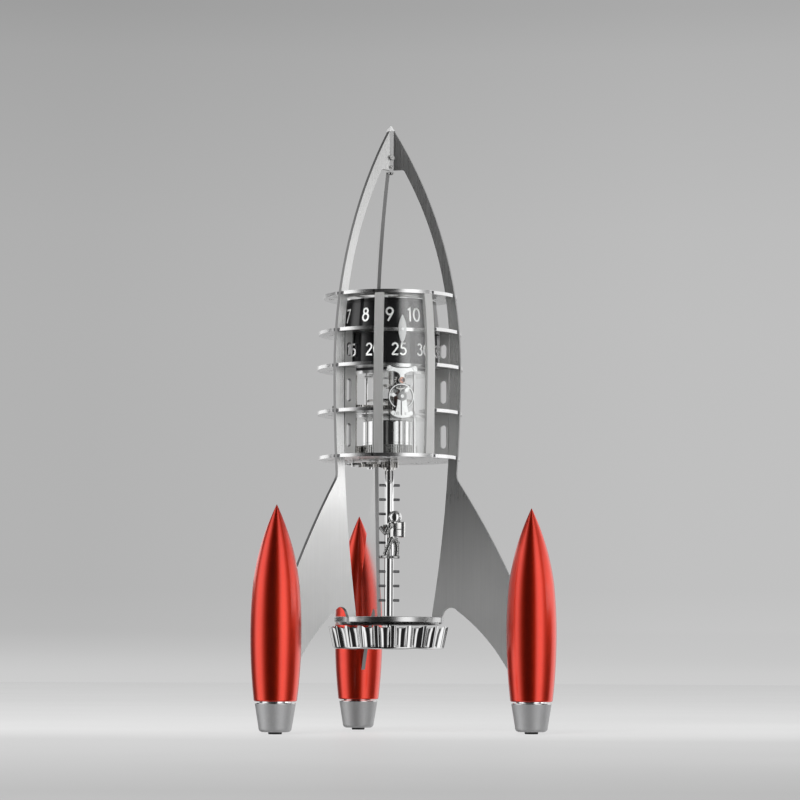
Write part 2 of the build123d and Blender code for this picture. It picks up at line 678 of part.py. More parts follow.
PINION_AXIS_DROP = 1.8      # contrate tooth tips stand this far below the escape axis
CONTRATE_RADIUS = CONTRATE_TEETH * CONTRATE_PITCH / (2 * pi)
CONTRATE_FACE = 0.9
contrate_tips = ESCAPE_HEIGHT - PINION_AXIS_DROP
third_turn = mesh_turn(0, 0, CENTRE_STAGE[0], CENTRE_STAGE[1])
with BuildPart() as third_wheel:
    with BuildSketch(Plane(third_place).offset(BRIDGE_LOW + 0.3)):
        Circle(0.8)
    extrude(amount=TRAIN_LOW + BRIDGE_THICK - BRIDGE_LOW - 0.3)
    with BuildSketch(Plane(third_place).offset(CENTRE_WHEEL - 0.8)):
        gear_face(CENTRE_STAGE[1], CENTRE_STAGE[2], third_turn)
    extrude(amount=3.0)
    with BuildSketch(Plane(third_place).offset(contrate_tips - 2.0)):
        Circle(CONTRATE_RADIUS + CONTRATE_FACE / 2)
        wheel_windows(5, 5.2, 2.2)
    extrude(amount=0.8)
    with BuildSketch(Plane(third_place).offset(contrate_tips - 1.2)):
        with PolarLocations(CONTRATE_RADIUS, CONTRATE_TEETH, start_angle=-90 + 180 / CONTRATE_TEETH):
            Rectangle(CONTRATE_FACE, 0.4)
    extrude(amount=1.2)
save("third_wheel", third_wheel)

ESCAPE_PLANE = 33.5
ESCAPE_TIP = 4.6
ESCAPE_TEETH = 15
ESCAPE_TURN = -4.6          # puts a gap of the wheel before each pallet stone
with BuildPart() as escape_wheel:
    pinion_back = THIRD_DISTANCE + CONTRATE_RADIUS - CONTRATE_FACE / 2 - 0.2
    pinion_front = REGULATOR_BACK - 0.2
    with BuildSketch(regulator_plane(pinion_back, ESCAPE_HEIGHT)):
        Circle(1.6)
        with PolarLocations(2.1, ESCAPE_LEAVES, start_angle=-90):
            Rectangle(1.2, 0.36)
    extrude(amount=pinion_front - pinion_back)
    with BuildSketch(regulator_plane(pinion_front, ESCAPE_HEIGHT)):
        Circle(0.5)
    extrude(amount=38.2 - pinion_front)
    with BuildSketch(regulator_plane(ESCAPE_PLANE - 0.3, ESCAPE_HEIGHT)):
        with BuildLine():
            corners = []
            for tooth in range(ESCAPE_TEETH):
                a = 2 * pi * tooth / ESCAPE_TEETH + radians(ESCAPE_TURN)
                for radius, turn in ((3.5, 0.0), (ESCAPE_TIP, 0.16), (ESCAPE_TIP, 0.21), (3.5, 0.22)):
                    corners.append((radius * cos(a + turn), radius * sin(a + turn)))
            Polyline(*corners, close=True)
        make_face()
        with PolarLocations(2.1, 4, start_angle=45):
            Circle(0.8, mode=Mode.SUBTRACT)
    extrude(amount=0.6)
save("escape_wheel", escape_wheel)

# ---- Regulator: pallet fork, balance, cocks ---------------------------------------------------
PALLET_GAP = 0.08
drop = ESCAPE_HEIGHT - PALLET_HEIGHT
STONE_ANGLE = 30
stone_radius = ESCAPE_TIP + PALLET_GAP + 0.45
with BuildPart() as pallet_fork:
    with BuildSketch(regulator_plane(ESCAPE_PLANE - 0.3, PALLET_HEIGHT)):
        Circle(0.8)
        for side in (-1, 1):
            angle = side * STONE_ANGLE
            lean = radians(angle)
            with Locations((stone_radius * sin(lean), drop - stone_radius * cos(lean))):
                Rectangle(0.35, 0.9, rotation=angle)
            arm = [(0, 0.7), (2.9, 1.15), (3.15, 0.75), (0.6, -0.3)]
            Polygon(*[(side * x, y) for x, y in arm], align=None)
        Polygon((-0.35, 0), (0.35, 0), (0.3, -2.6), (-0.3, -2.6), align=None)
        with Locations((0, -2.9)):
            Rectangle(1.6, 0.6)
    extrude(amount=0.6)
    with BuildSketch(regulator_plane(REGULATOR_BACK - 0.8, PALLET_HEIGHT)):
        Circle(0.4)
    extrude(amount=ESCAPE_PLANE + 0.8 - REGULATOR_BACK + 0.8)
    with BuildSketch(regulator_plane(REGULATOR_BACK - 0.8, PALLET_HEIGHT)):
        Circle(0.8)
    extrude(amount=0.6)
save("pallet_fork", pallet_fork)

BALANCE_BACK = 35.3
with BuildPart() as balance_wheel:
    with BuildSketch(regulator_plane(BALANCE_BACK, BALANCE_HEIGHT)):
        Circle(BALANCE_RADIUS)
        Circle(BALANCE_RADIUS - 0.8, mode=Mode.SUBTRACT)
        with PolarLocations(BALANCE_RADIUS / 2, 3, start_angle=50):
            Rectangle(BALANCE_RADIUS - 0.6, 1.3)
        Circle(1.7)
        with PolarLocations(5.6, 3, start_angle=50):
            Circle(1.5)
    extrude(amount=1.0)
    with BuildSketch(regulator_plane(REGULATOR_BACK + 0.1, BALANCE_HEIGHT)):
        Circle(0.45)
    extrude(amount=BELL_BACK + 1.0 - REGULATOR_BACK - 0.1)
    with BuildSketch(regulator_plane(BALANCE_BACK - 0.5, BALANCE_HEIGHT)):
        Circle(1.2)
    extrude(amount=0.5)
save("balance_wheel", balance_wheel)

with BuildPart() as hairspring:
    with BuildSketch(regulator_plane(31.9, BALANCE_HEIGHT)):
        spiral_ribbon(0.95, 5, 0.62, 0.16)
    extrude(amount=0.5)
    with BuildSketch(regulator_plane(31.7, BALANCE_HEIGHT)):
        Circle(1.03)
        Circle(0.45, mode=Mode.SUBTRACT)
    extrude(amount=0.9)
save("hairspring", hairspring)

with BuildPart() as regulator_plate:
    with BuildSketch(facing(REGULATOR_BACK)):
        with Locations((0, (BRIDGE_LOW + BRIDGE_THICK + TRAIN_LOW) / 2)):
            Rectangle(8.4, TRAIN_LOW - BRIDGE_LOW - BRIDGE_THICK)
        with Locations((0, ESCAPE_HEIGHT)):
            Circle(0.5 + RUN, mode=Mode.SUBTRACT)
        with Locations((0, PALLET_HEIGHT)):
            Circle(0.4 + RUN, mode=Mode.SUBTRACT)
        with Locations((0, BALANCE_HEIGHT)):
            Circle(0.45 + RUN, mode=Mode.SUBTRACT)
    extrude(amount=REGULATOR_FACE - REGULATOR_BACK)
save("regulator_plate", regulator_plate)

COCK_TOP = TRAIN_LOW + BRIDGE_THICK + 2.1
with BuildPart() as regulator_cock:
    with BuildSketch(facing(COCK_BACK)):
        with Locations((0, (TRAIN_LOW + COCK_TOP) / 2)):
            RectangleRounded(COCK_WIDTH, COCK_TOP - TRAIN_LOW, 1.9)
        with Locations((0, (TRAIN_LOW + ESCAPE_HEIGHT) / 2 + 1)):
            Rectangle(3.2, TRAIN_LOW - ESCAPE_HEIGHT + 2)
        with Locations((0, ESCAPE_HEIGHT)):
            Circle(2.3)
            Circle(0.5 + RUN, mode=Mode.SUBTRACT)
        with Locations(*COCK_SCREWS):
            Circle(SCREW_RADIUS, mode=Mode.SUBTRACT)
    extrude(amount=1.3)
save("regulator_cock", regulator_cock)

BELL_LOW = 210.6
with BuildPart() as balance_bridge:
    with BuildSketch(facing(BELL_BACK)):
        with BuildLine():
            ThreePointArc((-5.75, BELL_LOW + 0.6), (0, BELL_LOW - 0.5), (5.75, BELL_LOW + 0.6))
            ThreePointArc((5.75, BELL_LOW + 0.6), (3.4, 216.5), (2.2, BALANCE_HEIGHT))
            Line((2.2, BALANCE_HEIGHT), (-2.2, BALANCE_HEIGHT))
            ThreePointArc((-2.2, BALANCE_HEIGHT), (-3.4, 216.5), (-5.75, BELL_LOW + 0.6))
        make_face()
        with Locations((0, BALANCE_HEIGHT)):
            Circle(2.9)
        with Locations((-6.0, 213.4), (6.0, 213.4)):
            Circle(1.7)
        with Locations((0, BALANCE_HEIGHT)):
            Circle(0.45 + RUN, mode=Mode.SUBTRACT)
        with Locations(*BELL_SCREWS):
            Circle(SCREW_RADIUS, mode=Mode.SUBTRACT)
        with Locations((-0.3, 216.0)):
            Rectangle(0.5, 8.0, mode=Mode.SUBTRACT)
    extrude(amount=1.2)
save("balance_bridge", balance_bridge)

# ---- Time display: drums, motion work and pointer ----------------------------------------------
CANNON_RADIUS = 2.0
HOUR_TUBE_RADIUS = 2.9
MINUTE_LOW = 247.6
MINUTE_HIGH = 268.3
HOUR_LOW = 271.9
HOUR_HIGH = 292.3
MOTION_LOW = RING_HEIGHTS[1] + RING_THICK / 2
SETTING_LOW = 291.2


def drum_shell(low, low_radius, high, high_radius):
    """Slightly conical open drum."""
    with BuildSketch(Plane.XZ) as wall:
        with BuildLine():
            Polyline(
                (low_radius, low), (high_radius, high),
                (high_radius - DRUM_WALL, high), (low_radius - DRUM_WALL, low), close=True,
            )
        make_face()
    revolve(wall.sketch, axis=Axis.Z)


def drum_web(height, thick, reach, hub, bore, hub_low, hub_high):
    """Web with round windows and a hub bored for its tube."""
    with BuildSketch(Plane.XY.offset(height)) as web:
        Circle(reach)
        with PolarLocations(reach * 0.55, 6):
            Circle(reach * 0.24, mode=Mode.SUBTRACT)
    extrude(web.sketch, amount=thick)
    with BuildSketch(Plane.XY.offset(hub_low)) as boss:
        Circle(hub)
    extrude(boss.sketch, amount=hub_high - hub_low)
    with BuildSketch(Plane.XY.offset(hub_low)) as hole:
        Circle(bore)
    extrude(hole.sketch, amount=hub_high - hub_low, mode=Mode.SUBTRACT)


with BuildPart() as minute_drum:
    drum_shell(MINUTE_LOW, 34.6, MINUTE_HIGH, 34.0)
    drum_web(250.0, 1.2, 34.1, 4.5, CANNON_RADIUS, 249.0, 254.0)
save("minute_drum", minute_drum)

with BuildPart() as cannon_pinion:
    with BuildSketch(Plane.XY.offset(MINUTE_LOW - 1)):
        Circle(CANNON_RADIUS)
    extrude(amount=RING_HEIGHTS[0] - RING_THICK / 2 - 0.3 - MINUTE_LOW + 1)
    with BuildSketch(Plane.XY.offset(MOTION_LOW + 0.3)):
        gear_face(CANNON_STAGE[1], CANNON_STAGE[2])
    extrude(amount=2.0)
    with BuildSketch(Plane.XY.offset(SETTING_LOW)):
        gear_face(SETTING_STAGE[0], SETTING_STAGE[2])
        wheel_windows(6, 9.5, 3.6)
    extrude(amount=1.6)
    with BuildSketch(Plane.XY.offset(MINUTE_LOW - 1)):
        Circle(GOING_AXIS_RADIUS + 0.02)
    extrude(amount=60, mode=Mode.SUBTRACT)
save("cannon_pinion", cannon_pinion)

motion_place = at(MOTION_HEADING, MOTION_DISTANCE)
motion_turn = mesh_turn(MOTION_HEADING, 0, CANNON_STAGE[1], CANNON_STAGE[0])
with BuildPart() as motion_wheel:
    with BuildSketch(Plane(motion_place).offset(MOTION_LOW + 0.6)):
        gear_face(CANNON_STAGE[0], CANNON_STAGE[2], motion_turn)
        wheel_windows(5, 5.8, 1.7)
    extrude(amount=1.2)
    with BuildSketch(Plane(motion_place).offset(MOTION_LOW + 1.8)):
        gear_face(HOUR_STAGE[1], HOUR_STAGE[2], motion_turn)
    extrude(amount=3.4)
    with BuildSketch(Plane(motion_place).offset(MOTION_LOW + 0.6)):
        Circle(0.8 + RUN)
    extrude(amount=4.6, mode=Mode.SUBTRACT)
save("motion_wheel", motion_wheel)

with BuildPart() as movement_studs:
    studs = [
        (motion_place, MOTION_LOW - RING_THICK, MOTION_LOW + 5.4, 0.8, MOTION_LOW + 5.4, 1.6),
        (ratchet_place, WINDING_LOW + 1.6, PLATE_BOTTOM + 1.5, 1.0, WINDING_LOW + 0.6, 2.2),
        (click_place, WINDING_LOW + 3.6, PLATE_BOTTOM, 0.8, WINDING_LOW + 2.6, 1.5),
    ]
    for place, low, high, radius, head_low, head_radius in studs:
        with BuildSketch(Plane(place).offset(low)):
            Circle(radius)
        extrude(amount=high - low)
        with BuildSketch(Plane(place).offset(head_low)):
            Circle(head_radius)
        extrude(amount=1.0)
save("movement_studs", movement_studs)

hour_turn = mesh_turn(MOTION_HEADING + 180, motion_turn, HOUR_STAGE[1], HOUR_STAGE[0])
with BuildPart() as hour_wheel:
    with BuildSketch(Plane.XY.offset(MOTION_LOW + 3.0)):
        gear_face(HOUR_STAGE[0], HOUR_STAGE[2], hour_turn)
        wheel_windows(5, 6.4, 1.7)
    extrude(amount=1.4)
    with BuildSketch(Plane.XY.offset(MOTION_LOW + 3.0)):
        Circle(HOUR_TUBE_RADIUS)
    extrude(amount=16.4)
    with BuildSketch(Plane.XY.offset(MOTION_LOW + 3.0)):
        Circle(CANNON_RADIUS + RUN)
    extrude(amount=16.4, mode=Mode.SUBTRACT)
save("hour_wheel", hour_wheel)

with BuildPart() as hour_drum:
    drum_shell(HOUR_LOW, 33.4, HOUR_HIGH, 31.3)
    drum_web(288.4, 1.2, 31.1, 4.8, HOUR_TUBE_RADIUS, 286.0, 290.4)
save("hour_drum", hour_drum)

setting_turn = mesh_turn(SETTING_HEADING, 0, SETTING_STAGE[0], SETTING_STAGE[1])
setting_place = at(SETTING_HEADING, SETTING_DISTANCE)
with BuildPart() as setting_knob:
    with BuildSketch(Plane(setting_place).offset(SETTING_LOW)):
        gear_face(SETTING_STAGE[1], SETTING_STAGE[2], setting_turn)
    extrude(amount=2.3)
    with BuildSketch(Plane(setting_place).offset(SETTING_LOW + 2.3)):
        Circle(1.0 - RUN)
    extrude(amount=RING_HEIGHTS[0] + RING_THICK / 2 - SETTING_LOW - 2.3)
    with BuildSketch(Plane(setting_place).offset(RING_HEIGHTS[0] + RING_THICK / 2)):
        Circle(2.4)
    extrude(amount=1.4)
save("setting_knob", setting_knob)

POINTER_HEIGHT = RING_HEIGHTS[1]
with BuildPart() as pointer:
    with BuildSketch(facing(RECESS + 0.9)):
        with BuildLine():
            half_length = 9.85
            half_width = 3.0
            for side in (-1, 1):
                for end in (-1, 1):
                    ThreePointArc(
                        (side * half_width, POINTER_HEIGHT),
                        (side * half_width * 0.66, POINTER_HEIGHT + end * half_length * 0.5),
                        (0, POINTER_HEIGHT + end * half_length),
                    )
        make_face()
        with Locations((0, POINTER_HEIGHT)):
            Circle(0.6, mode=Mode.SUBTRACT)
    extrude(amount=0.7)
    with BuildSketch(facing(RECESS)):
        with Locations((0, POINTER_HEIGHT)):
            Circle(1.4)
            Circle(0.6, mode=Mode.SUBTRACT)
    extrude(amount=0.9)
save("pointer", pointer)

with BuildPart() as front_screws:
    screw_seats = [(COCK_BACK + 1.3, place, 1.5, SCREW_RADIUS, 2.4) for place in COCK_SCREWS]
    screw_seats += [(BELL_BACK + 1.2, place, 1.0, SCREW_RADIUS, 2.4) for place in BELL_SCREWS]
    screw_seats += [(RECESS + 1.6, (0, POINTER_HEIGHT), 1.1, 0.6, 2.8)]
    for seat, place, head, shank, length in screw_seats:
        with BuildSketch(facing(seat)):
            with Locations(place):
                Circle(head)
        extrude(amount=0.6)
        with BuildSketch(facing(seat)):
            with Locations(place):
                Circle(shank)
        extrude(amount=-length)
        with BuildSketch(facing(seat + 0.6)):
            with Locations(place):
                Rectangle(3 * head, 0.3, rotation=25)
        extrude(amount=-0.3, mode=Mode.SUBTRACT)
save("front_screws", front_screws)

# ---- Base disc, ladder and winding crown -------------------------------------------------------
DISC_BOTTOM = 72.4
with BuildPart() as base_disc:
    with BuildSketch(Plane.XZ):
        with BuildLine():
            Polyline(
                (SHAFT_RADIUS + RUN, DISC_TOP), (DISC_RADIUS - 0.3, DISC_TOP), (DISC_RADIUS, DISC_TOP - 0.3),
                (DISC_RADIUS, 74.3), (35.2, DISC_BOTTOM), (SHAFT_RADIUS + RUN, DISC_BOTTOM), close=True,
            )
        make_face()
    revolve(axis=Axis.Z)
    for heading in FIN_HEADINGS.values():
        with BuildSketch(upright(heading)):
            with Locations(((30.6 + 42) / 2, (LEG_BOTTOM + 82) / 2)):
                Rectangle(42 - 30.6, 82 - LEG_BOTTOM)
        extrude(amount=FIN_THICK / 2 + 0.02, both=True, mode=Mode.SUBTRACT)
save("base_disc", base_disc)

COLUMN_TOP = WINDING_LOW - 0.3
with BuildPart() as ladder_column:
    with BuildSketch(Plane.XY.offset(DISC_TOP)):
        Circle(COLUMN_RADIUS)
        Circle(SHAFT_RADIUS + RUN, mode=Mode.SUBTRACT)
    extrude(amount=COLUMN_TOP - DISC_TOP)
    for rung in range(RUNG_COUNT):
        for side in (-1, 1):
            with Locations((side * (COLUMN_RADIUS - 0.35), 0, RUNG_TOP - rung * RUNG_PITCH)):
                Cylinder(0.9, 0.7, rotation=(0, 90, 0), mode=Mode.SUBTRACT)
save("ladder_column", ladder_column)

RUNG_REACH = 7.15
with BuildPart() as ladder_rungs:
    inner = COLUMN_RADIUS - 0.7
    for rung in range(RUNG_COUNT):
        for side in (-1, 1):
            with Locations((side * (inner + RUNG_REACH) / 2, 0, RUNG_TOP - rung * RUNG_PITCH)):
                Cylinder(0.9, RUNG_REACH - inner, rotation=(0, 90, 0))
save("ladder_rungs", ladder_rungs)

FLUTES = 22
CROWN_WIDE = 40.8
CROWN_NARROW = 37.5
with BuildPart() as winding_crown:
    with BuildSketch(Plane.XZ):
        with BuildLine():
            Polyline(
                (CROWN_NARROW - 6, CROWN_BOTTOM), (CROWN_NARROW, CROWN_BOTTOM), (CROWN_WIDE, CROWN_TOP),
                (CROWN_WIDE - 5, CROWN_TOP), (CROWN_NARROW - 7.5, CROWN_BOTTOM + 4.2),
                (SHAFT_RADIUS + 4, CROWN_BOTTOM + 4.2), (SHAFT_RADIUS + 4, CROWN_TOP - 1),
                (SHAFT_RADIUS, CROWN_TOP - 1), (SHAFT_RADIUS, CROWN_BOTTOM + 3),
                (0, CROWN_BOTTOM + 3), (0, CROWN_BOTTOM + 1),
                (CROWN_NARROW - 6.5, CROWN_BOTTOM + 1), close=True,
            )
        make_face()
    revolve(axis=Axis.Z)
    slant = Vector(CROWN_WIDE - CROWN_NARROW, 0, CROWN_TOP - CROWN_BOTTOM)
    cut_radius = (CROWN_WIDE + CROWN_NARROW) / 2 + 2.6
    cut_height = (CROWN_TOP + CROWN_BOTTOM) / 2 + 1.2
    for flute in range(FLUTES):
        a = 2 * pi * flute / FLUTES
        outward = Vector(cos(a), sin(a), 0)
        along = outward * slant.X + Vector(0, 0, slant.Z)
        middle = outward * cut_radius + Vector(0, 0, cut_height)
        with Locations(Plane(middle, z_dir=along).location):
            Cylinder(4.0, 15.6, mode=Mode.SUBTRACT)
save("winding_crown", winding_crown)

# ---- Astronaut on the ladder, facing -X ----------------------------------------------------------
SUIT_DEPTH = -8.2
HELMET = (2.4, SUIT_DEPTH, 145.1)
HELMET_RADIUS = 4.6
NEAR_SIDE = SUIT_DEPTH - 1.8
FAR_SIDE = SUIT_DEPTH + 1.8


def limb(points, radius):
    """Round-ended limb through points."""
    for start, end in zip(points, points[1:]):
        a, b = Vector(*start), Vector(*end)
        with Locations(Plane((a + b) / 2, z_dir=b - a).location):
            Cylinder(radius, (b - a).length)
    with Locations(*points):
        Sphere(radius)


with BuildPart() as astronaut_body:
    with Locations((-0.4, SUIT_DEPTH, 136.8)):
        Box(3.8, 5.2, 10.4)
    fillet(astronaut_body.edges(), radius=0.8)
    with Locations((0.9, SUIT_DEPTH, 131.6)):
        Sphere(2.5)
    near_leg = [(-0.6, 131.0), (-3.1, 124.4), (-4.6, 119.4), (-7.3, 119.6)]
    limb([(x, NEAR_SIDE, z) for x, z in near_leg], 1.25)
    far_leg = [(1.8, 131.0), (3.8, 125.0), (4.1, 118.6), (2.6, 118.3)]
    limb([(x, FAR_SIDE, z) for x, z in far_leg], 1.25)
    limb([(-1.6, NEAR_SIDE - 0.8, 140.2), (-4.9, NEAR_SIDE - 0.4, 134.4), (-6.6, -5.2, 138.4)], 1.15)
    limb([(-1.6, FAR_SIDE + 0.6, 139.8), (-4.6, FAR_SIDE + 1.0, 138.8)], 1.15)
    magnet_face = -COLUMN_RADIUS - RUN
    magnet_back = SUIT_DEPTH + 2.0
    with Locations((0, (magnet_face + magnet_back) / 2, 136.0)):
        Cylinder(1.2, magnet_face - magnet_back, rotation=(90, 0, 0))
    with Locations((4.3, SUIT_DEPTH, 136.6)):
        Box(5.8, 5.6, 9.4)
    with Locations((8.1, SUIT_DEPTH, 136.9)):
        Box(2.0, 6.4, 10.8)
    with Locations(HELMET):
        Sphere(HELMET_RADIUS, mode=Mode.SUBTRACT)
save("astronaut_body", astronaut_body)

with BuildPart() as astronaut_helmet:
    with Locations(HELMET):
        Sphere(HELMET_RADIUS)
save("astronaut_helmet", astronaut_helmet)
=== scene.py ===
import json
from math import asin, atan2, ceil, cos, degrees, hypot, pi, radians, sin, sqrt

import bpy
from mathutils import Matrix, Vector


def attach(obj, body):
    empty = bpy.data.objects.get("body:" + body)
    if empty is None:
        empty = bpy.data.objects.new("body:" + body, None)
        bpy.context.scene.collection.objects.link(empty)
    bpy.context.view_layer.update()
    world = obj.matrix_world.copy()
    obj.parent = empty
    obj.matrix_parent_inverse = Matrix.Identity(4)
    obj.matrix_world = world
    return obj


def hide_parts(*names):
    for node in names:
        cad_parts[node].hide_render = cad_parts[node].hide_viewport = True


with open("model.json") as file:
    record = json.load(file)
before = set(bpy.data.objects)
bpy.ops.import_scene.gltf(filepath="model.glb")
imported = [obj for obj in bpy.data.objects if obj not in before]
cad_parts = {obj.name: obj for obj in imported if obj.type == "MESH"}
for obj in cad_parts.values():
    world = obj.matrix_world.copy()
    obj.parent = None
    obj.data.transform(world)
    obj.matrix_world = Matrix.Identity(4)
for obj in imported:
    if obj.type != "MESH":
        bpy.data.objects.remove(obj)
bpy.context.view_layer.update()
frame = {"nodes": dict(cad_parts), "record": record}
RECORD = frame["record"]
BODY_OF = {n: body for body, nodes in RECORD["behaviour"]["bodies"].items() for n in nodes}

# Camera, in metres and degrees. Headings count from the front towards +X.
CAMERA_HEADING = -12.27
CAMERA_DISTANCE = 2.134
CAMERA_HEIGHT = 0.0448
CAMERA_LENS = 141.5         # mm, on a 36 mm wide sensor
CAMERA_ROLL = 0.26
AIM_ASIDE = 0.0069          # how far right of the axis the camera aims
AIM_RISE = 0.0846           # how far it aims above its own height, per metre of distance

# Driving sizes of the clock, in millimetres and degrees
FIN_HEADINGS = {"left": -60, "right": 60, "rear": 180}
POD_CIRCLE = 100
POST_HEADING = 21.5
RING_HEIGHTS = (295.0, 270.0, 246.0, 215.5, 185.0)
POINTER_HEIGHT = 270.0
JEWEL_HEIGHT = 235.6
BALANCE_HEIGHT = 224.8
BALANCE_DEPTH, COCK_DEPTH, BRIDGE_DEPTH = 35.3, 37.0, 37.4      # from the axis towards the front


# ---- Small geometry helpers: everything below is in millimetres until add() 
def heading_point(heading, radius, height=0.0):
    """Point at a heading and radius about the rocket's axis."""
    a = radians(heading)
    return Vector((radius * sin(a), -radius * cos(a), height))


def front(depth, x=0.0, height=0.0):
    """Local x is +X, local y is up, local z points out of the front."""
    place = Matrix(((1, 0, 0), (0, 0, -1), (0, 1, 0))).to_4x4()
    place.translation = Vector((x, -depth, height))
    return place


def upright(x=0.0, y=0.0, height=0.0):
    """Axis parallel to the rocket's own."""
    return Matrix.Translation((x, y, height))


def spun(turn, axis="Z"):
    """Turn in degrees about an axis."""
    return Matrix.Rotation(radians(turn), 4, axis)


def arc(a, b, c, steps=12):
    """Points on the circle through three points, ends included."""
    (ax, ay), (bx, by), (cx, cy) = a, b, c
    d = 2 * (ax * (by - cy) + bx * (cy - ay) + cx * (ay - by))
    sa, sb, sc = ax * ax + ay * ay, bx * bx + by * by, cx * cx + cy * cy
    ux = (sa * (by - cy) + sb * (cy - ay) + sc * (ay - by)) / d
    uy = (sa * (cx - bx) + sb * (ax - cx) + sc * (bx - ax)) / d
    radius = hypot(ax - ux, ay - uy)
    start, middle, end = (atan2(p[1] - uy, p[0] - ux) for p in (a, b, c))
    span = (end - start) % (2 * pi)
    if (middle - start) % (2 * pi) > span:
        span -= 2 * pi
    return [
        (ux + radius * cos(start + span * i / steps), uy + radius * sin(start + span * i / steps))
        for i in range(steps + 1)
    ]


def circle(radius, x=0.0, y=0.0, steps=32):
    return [
        (x + radius * cos(2 * pi * i / steps), y + radius * sin(2 * pi * i / steps))
        for i in range(steps)
    ]


def linked(name, data):
    """New object in the scene."""
    made = bpy.data.objects.new(name, data)
    bpy.context.scene.collection.objects.link(made)
    return made


def add(name, mesh, material, nodes, place=None, smooth=35, hides=True):
    """Turn a millimetre mesh into a finished piece that rides with its CAD nodes' body."""
    mesh.name = name
    mesh.transform(Matrix.Scale(0.001, 4) @ (place or Matrix.Identity(4)))
    mesh.materials.clear()
    mesh.materials.append(material)
    for face in mesh.polygons:
        face.use_smooth = True
    mesh.set_sharp_from_angle(angle=radians(smooth))
    piece = linked(name, mesh)
    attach(piece, BODY_OF[nodes[0]])
    if hides:
        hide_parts(*nodes)
    return piece


def raw(points, faces):
    mesh = bpy.data.meshes.new("raw")
    mesh.from_pydata([tuple(p) for p in points], [], faces)
    mesh.validate()
    return mesh


def quads(rows):
    """Faces between closed rows that have the same number of points."""
    faces = []
    for low, high in zip(rows, rows[1:]):
        for i in range(len(low)):
            j = (i + 1) % len(low)
            faces.append([low[i], low[j], high[j], high[i]])
    return faces


def lathe(profile, steps=96):
    """Turn (radius, height) points about local z. Points on the axis become single vertices."""
    points, rows = [], []
    for radius, height in profile:
        if radius < 1e-6:
            rows.append([len(points)] * steps)
            points.append((0, 0, height))
        else:
            rows.append(range(len(points), len(points) + steps))
            points += [(x, y, height) for x, y in circle(radius, steps=steps)]
    faces = []
    for corners in quads(rows):
        face = [v for k, v in enumerate(corners) if v != corners[k - 1]]
        if len(face) > 2:
            faces.append(face)
    return raw(points, faces)


def curve_mesh(curve):
    """Mesh of a curve, which is then thrown away."""
    holder = linked("holder", curve)
    bpy.context.view_layer.update()
    seen = holder.evaluated_get(bpy.context.evaluated_depsgraph_get())
    mesh = bpy.data.meshes.new_from_object(seen)
    bpy.data.objects.remove(holder)
    bpy.data.curves.remove(curve)
    return mesh


def plate(outlines, low, high, bevel=0.1, rounds=2):
    """Flat plate with bevelled edges. The first outline is the rim and the others are holes."""
    curve = bpy.data.curves.new("plate", "CURVE")
    curve.dimensions = "2D"
    curve.fill_mode = "BOTH"
    curve.extrude = (high - low) / 2 - bevel
    curve.bevel_depth = bevel
    curve.bevel_resolution = rounds
    curve.offset = -bevel
    for outline in outlines:
        spline = curve.splines.new("POLY")
        spline.points.add(len(outline) - 1)
        for point, (x, y) in zip(spline.points, outline):
            point.co = (x, y, 0, 1)
        spline.use_cyclic_u = True
    mesh = curve_mesh(curve)
    mesh.transform(Matrix.Translation((0, 0, (low + high) / 2)))
    return mesh


def tube(path, radii, steps=20):
    """Round sweep along a path with one radius for each point, closed at both ends."""
    path = [Vector(p) for p in path]
    points, rings = [], []
    side = None
    for i, here in enumerate(path):
        along = (path[min(i + 1, len(path) - 1)] - path[max(i - 1, 0)]).normalized()
        if side is None:
            side = along.orthogonal().normalized()
        side = (side - along * side.dot(along)).normalized()
        other = along.cross(side)
        rings.append(range(len(points), len(points) + steps))
        for k in range(steps):
            a = 2 * pi * k / steps
            points.append(here + radii[i] * (side * cos(a) + other * sin(a)))
    return raw(points, quads(rings) + [list(rings[0])[::-1], list(rings[-1])])


def smooth_path(corners, steps=10):
    """Catmull-Rom curve through the corners."""
    corners = [Vector(c) for c in corners]
    ends = [corners[0] * 2 - corners[1]] + corners + [corners[-1] * 2 - corners[-2]]
    path = []
    for a, b, c, d in zip(ends, ends[1:], ends[2:], ends[3:]):
        for i in range(steps):
            t = i / steps
            path.append(0.5 * (2 * b + (c - a) * t + (2 * a - 5 * b + 4 * c - d) * t * t
                               + (3 * b - a - 3 * c + d) * t ** 3))
    return path + [corners[-1]]


def joined(*meshes):
    """One mesh from several, which are used up."""
    points, faces = [], []
    for mesh in meshes:
        base = len(points)
        points += [v.co.copy() for v in mesh.vertices]
        faces += [[base + i for i in f.vertices] for f in mesh.polygons]
        bpy.data.meshes.remove(mesh)
    return raw(points, faces)


def moved(mesh, place):
    mesh.transform(place)
    return mesh


def shifted(mesh, x, y, z):
    return moved(mesh, Matrix.Translation((x, y, z)))


def rounded_box(size, radius=0.5, steps=3):
    """Box with rounded edges, as a plate along z with a full edge radius."""
    x, y, z = (s / 2 for s in size)
    rim = []
    for cx, cy, start in ((x, y, 0), (-x, y, 90), (-x, -y, 180), (x, -y, 270)):
        for i in range(steps + 1):
            a = radians(start + 90 * i / steps)
            rim.append((cx - (radius if cx > 0 else -radius) + radius * cos(a),
                        cy - (radius if cy > 0 else -radius) + radius * sin(a)))
    return plate([rim], -z, z, bevel=radius * 0.7, rounds=2)


# ---- Materials: every one is made of nodes ---------------------------------
def add_node(tree, kind, links=None, **values):
    """New shader node. Links holds an input's default value, or the output that feeds it."""
    made = tree.nodes.new("ShaderNode" + kind)
    for key, value in values.items():
        setattr(made, key, value)
    for key, value in (links or {}).items():
        if isinstance(value, bpy.types.NodeSocket):
            tree.links.new(value, made.inputs[key])
        else:
            made.inputs[key].default_value = value
    return made


def calculate(tree, operation, *values):
    """Arithmetic on values or outputs."""
    return add_node(tree, "Math", dict(enumerate(values)), operation=operation).outputs[0]


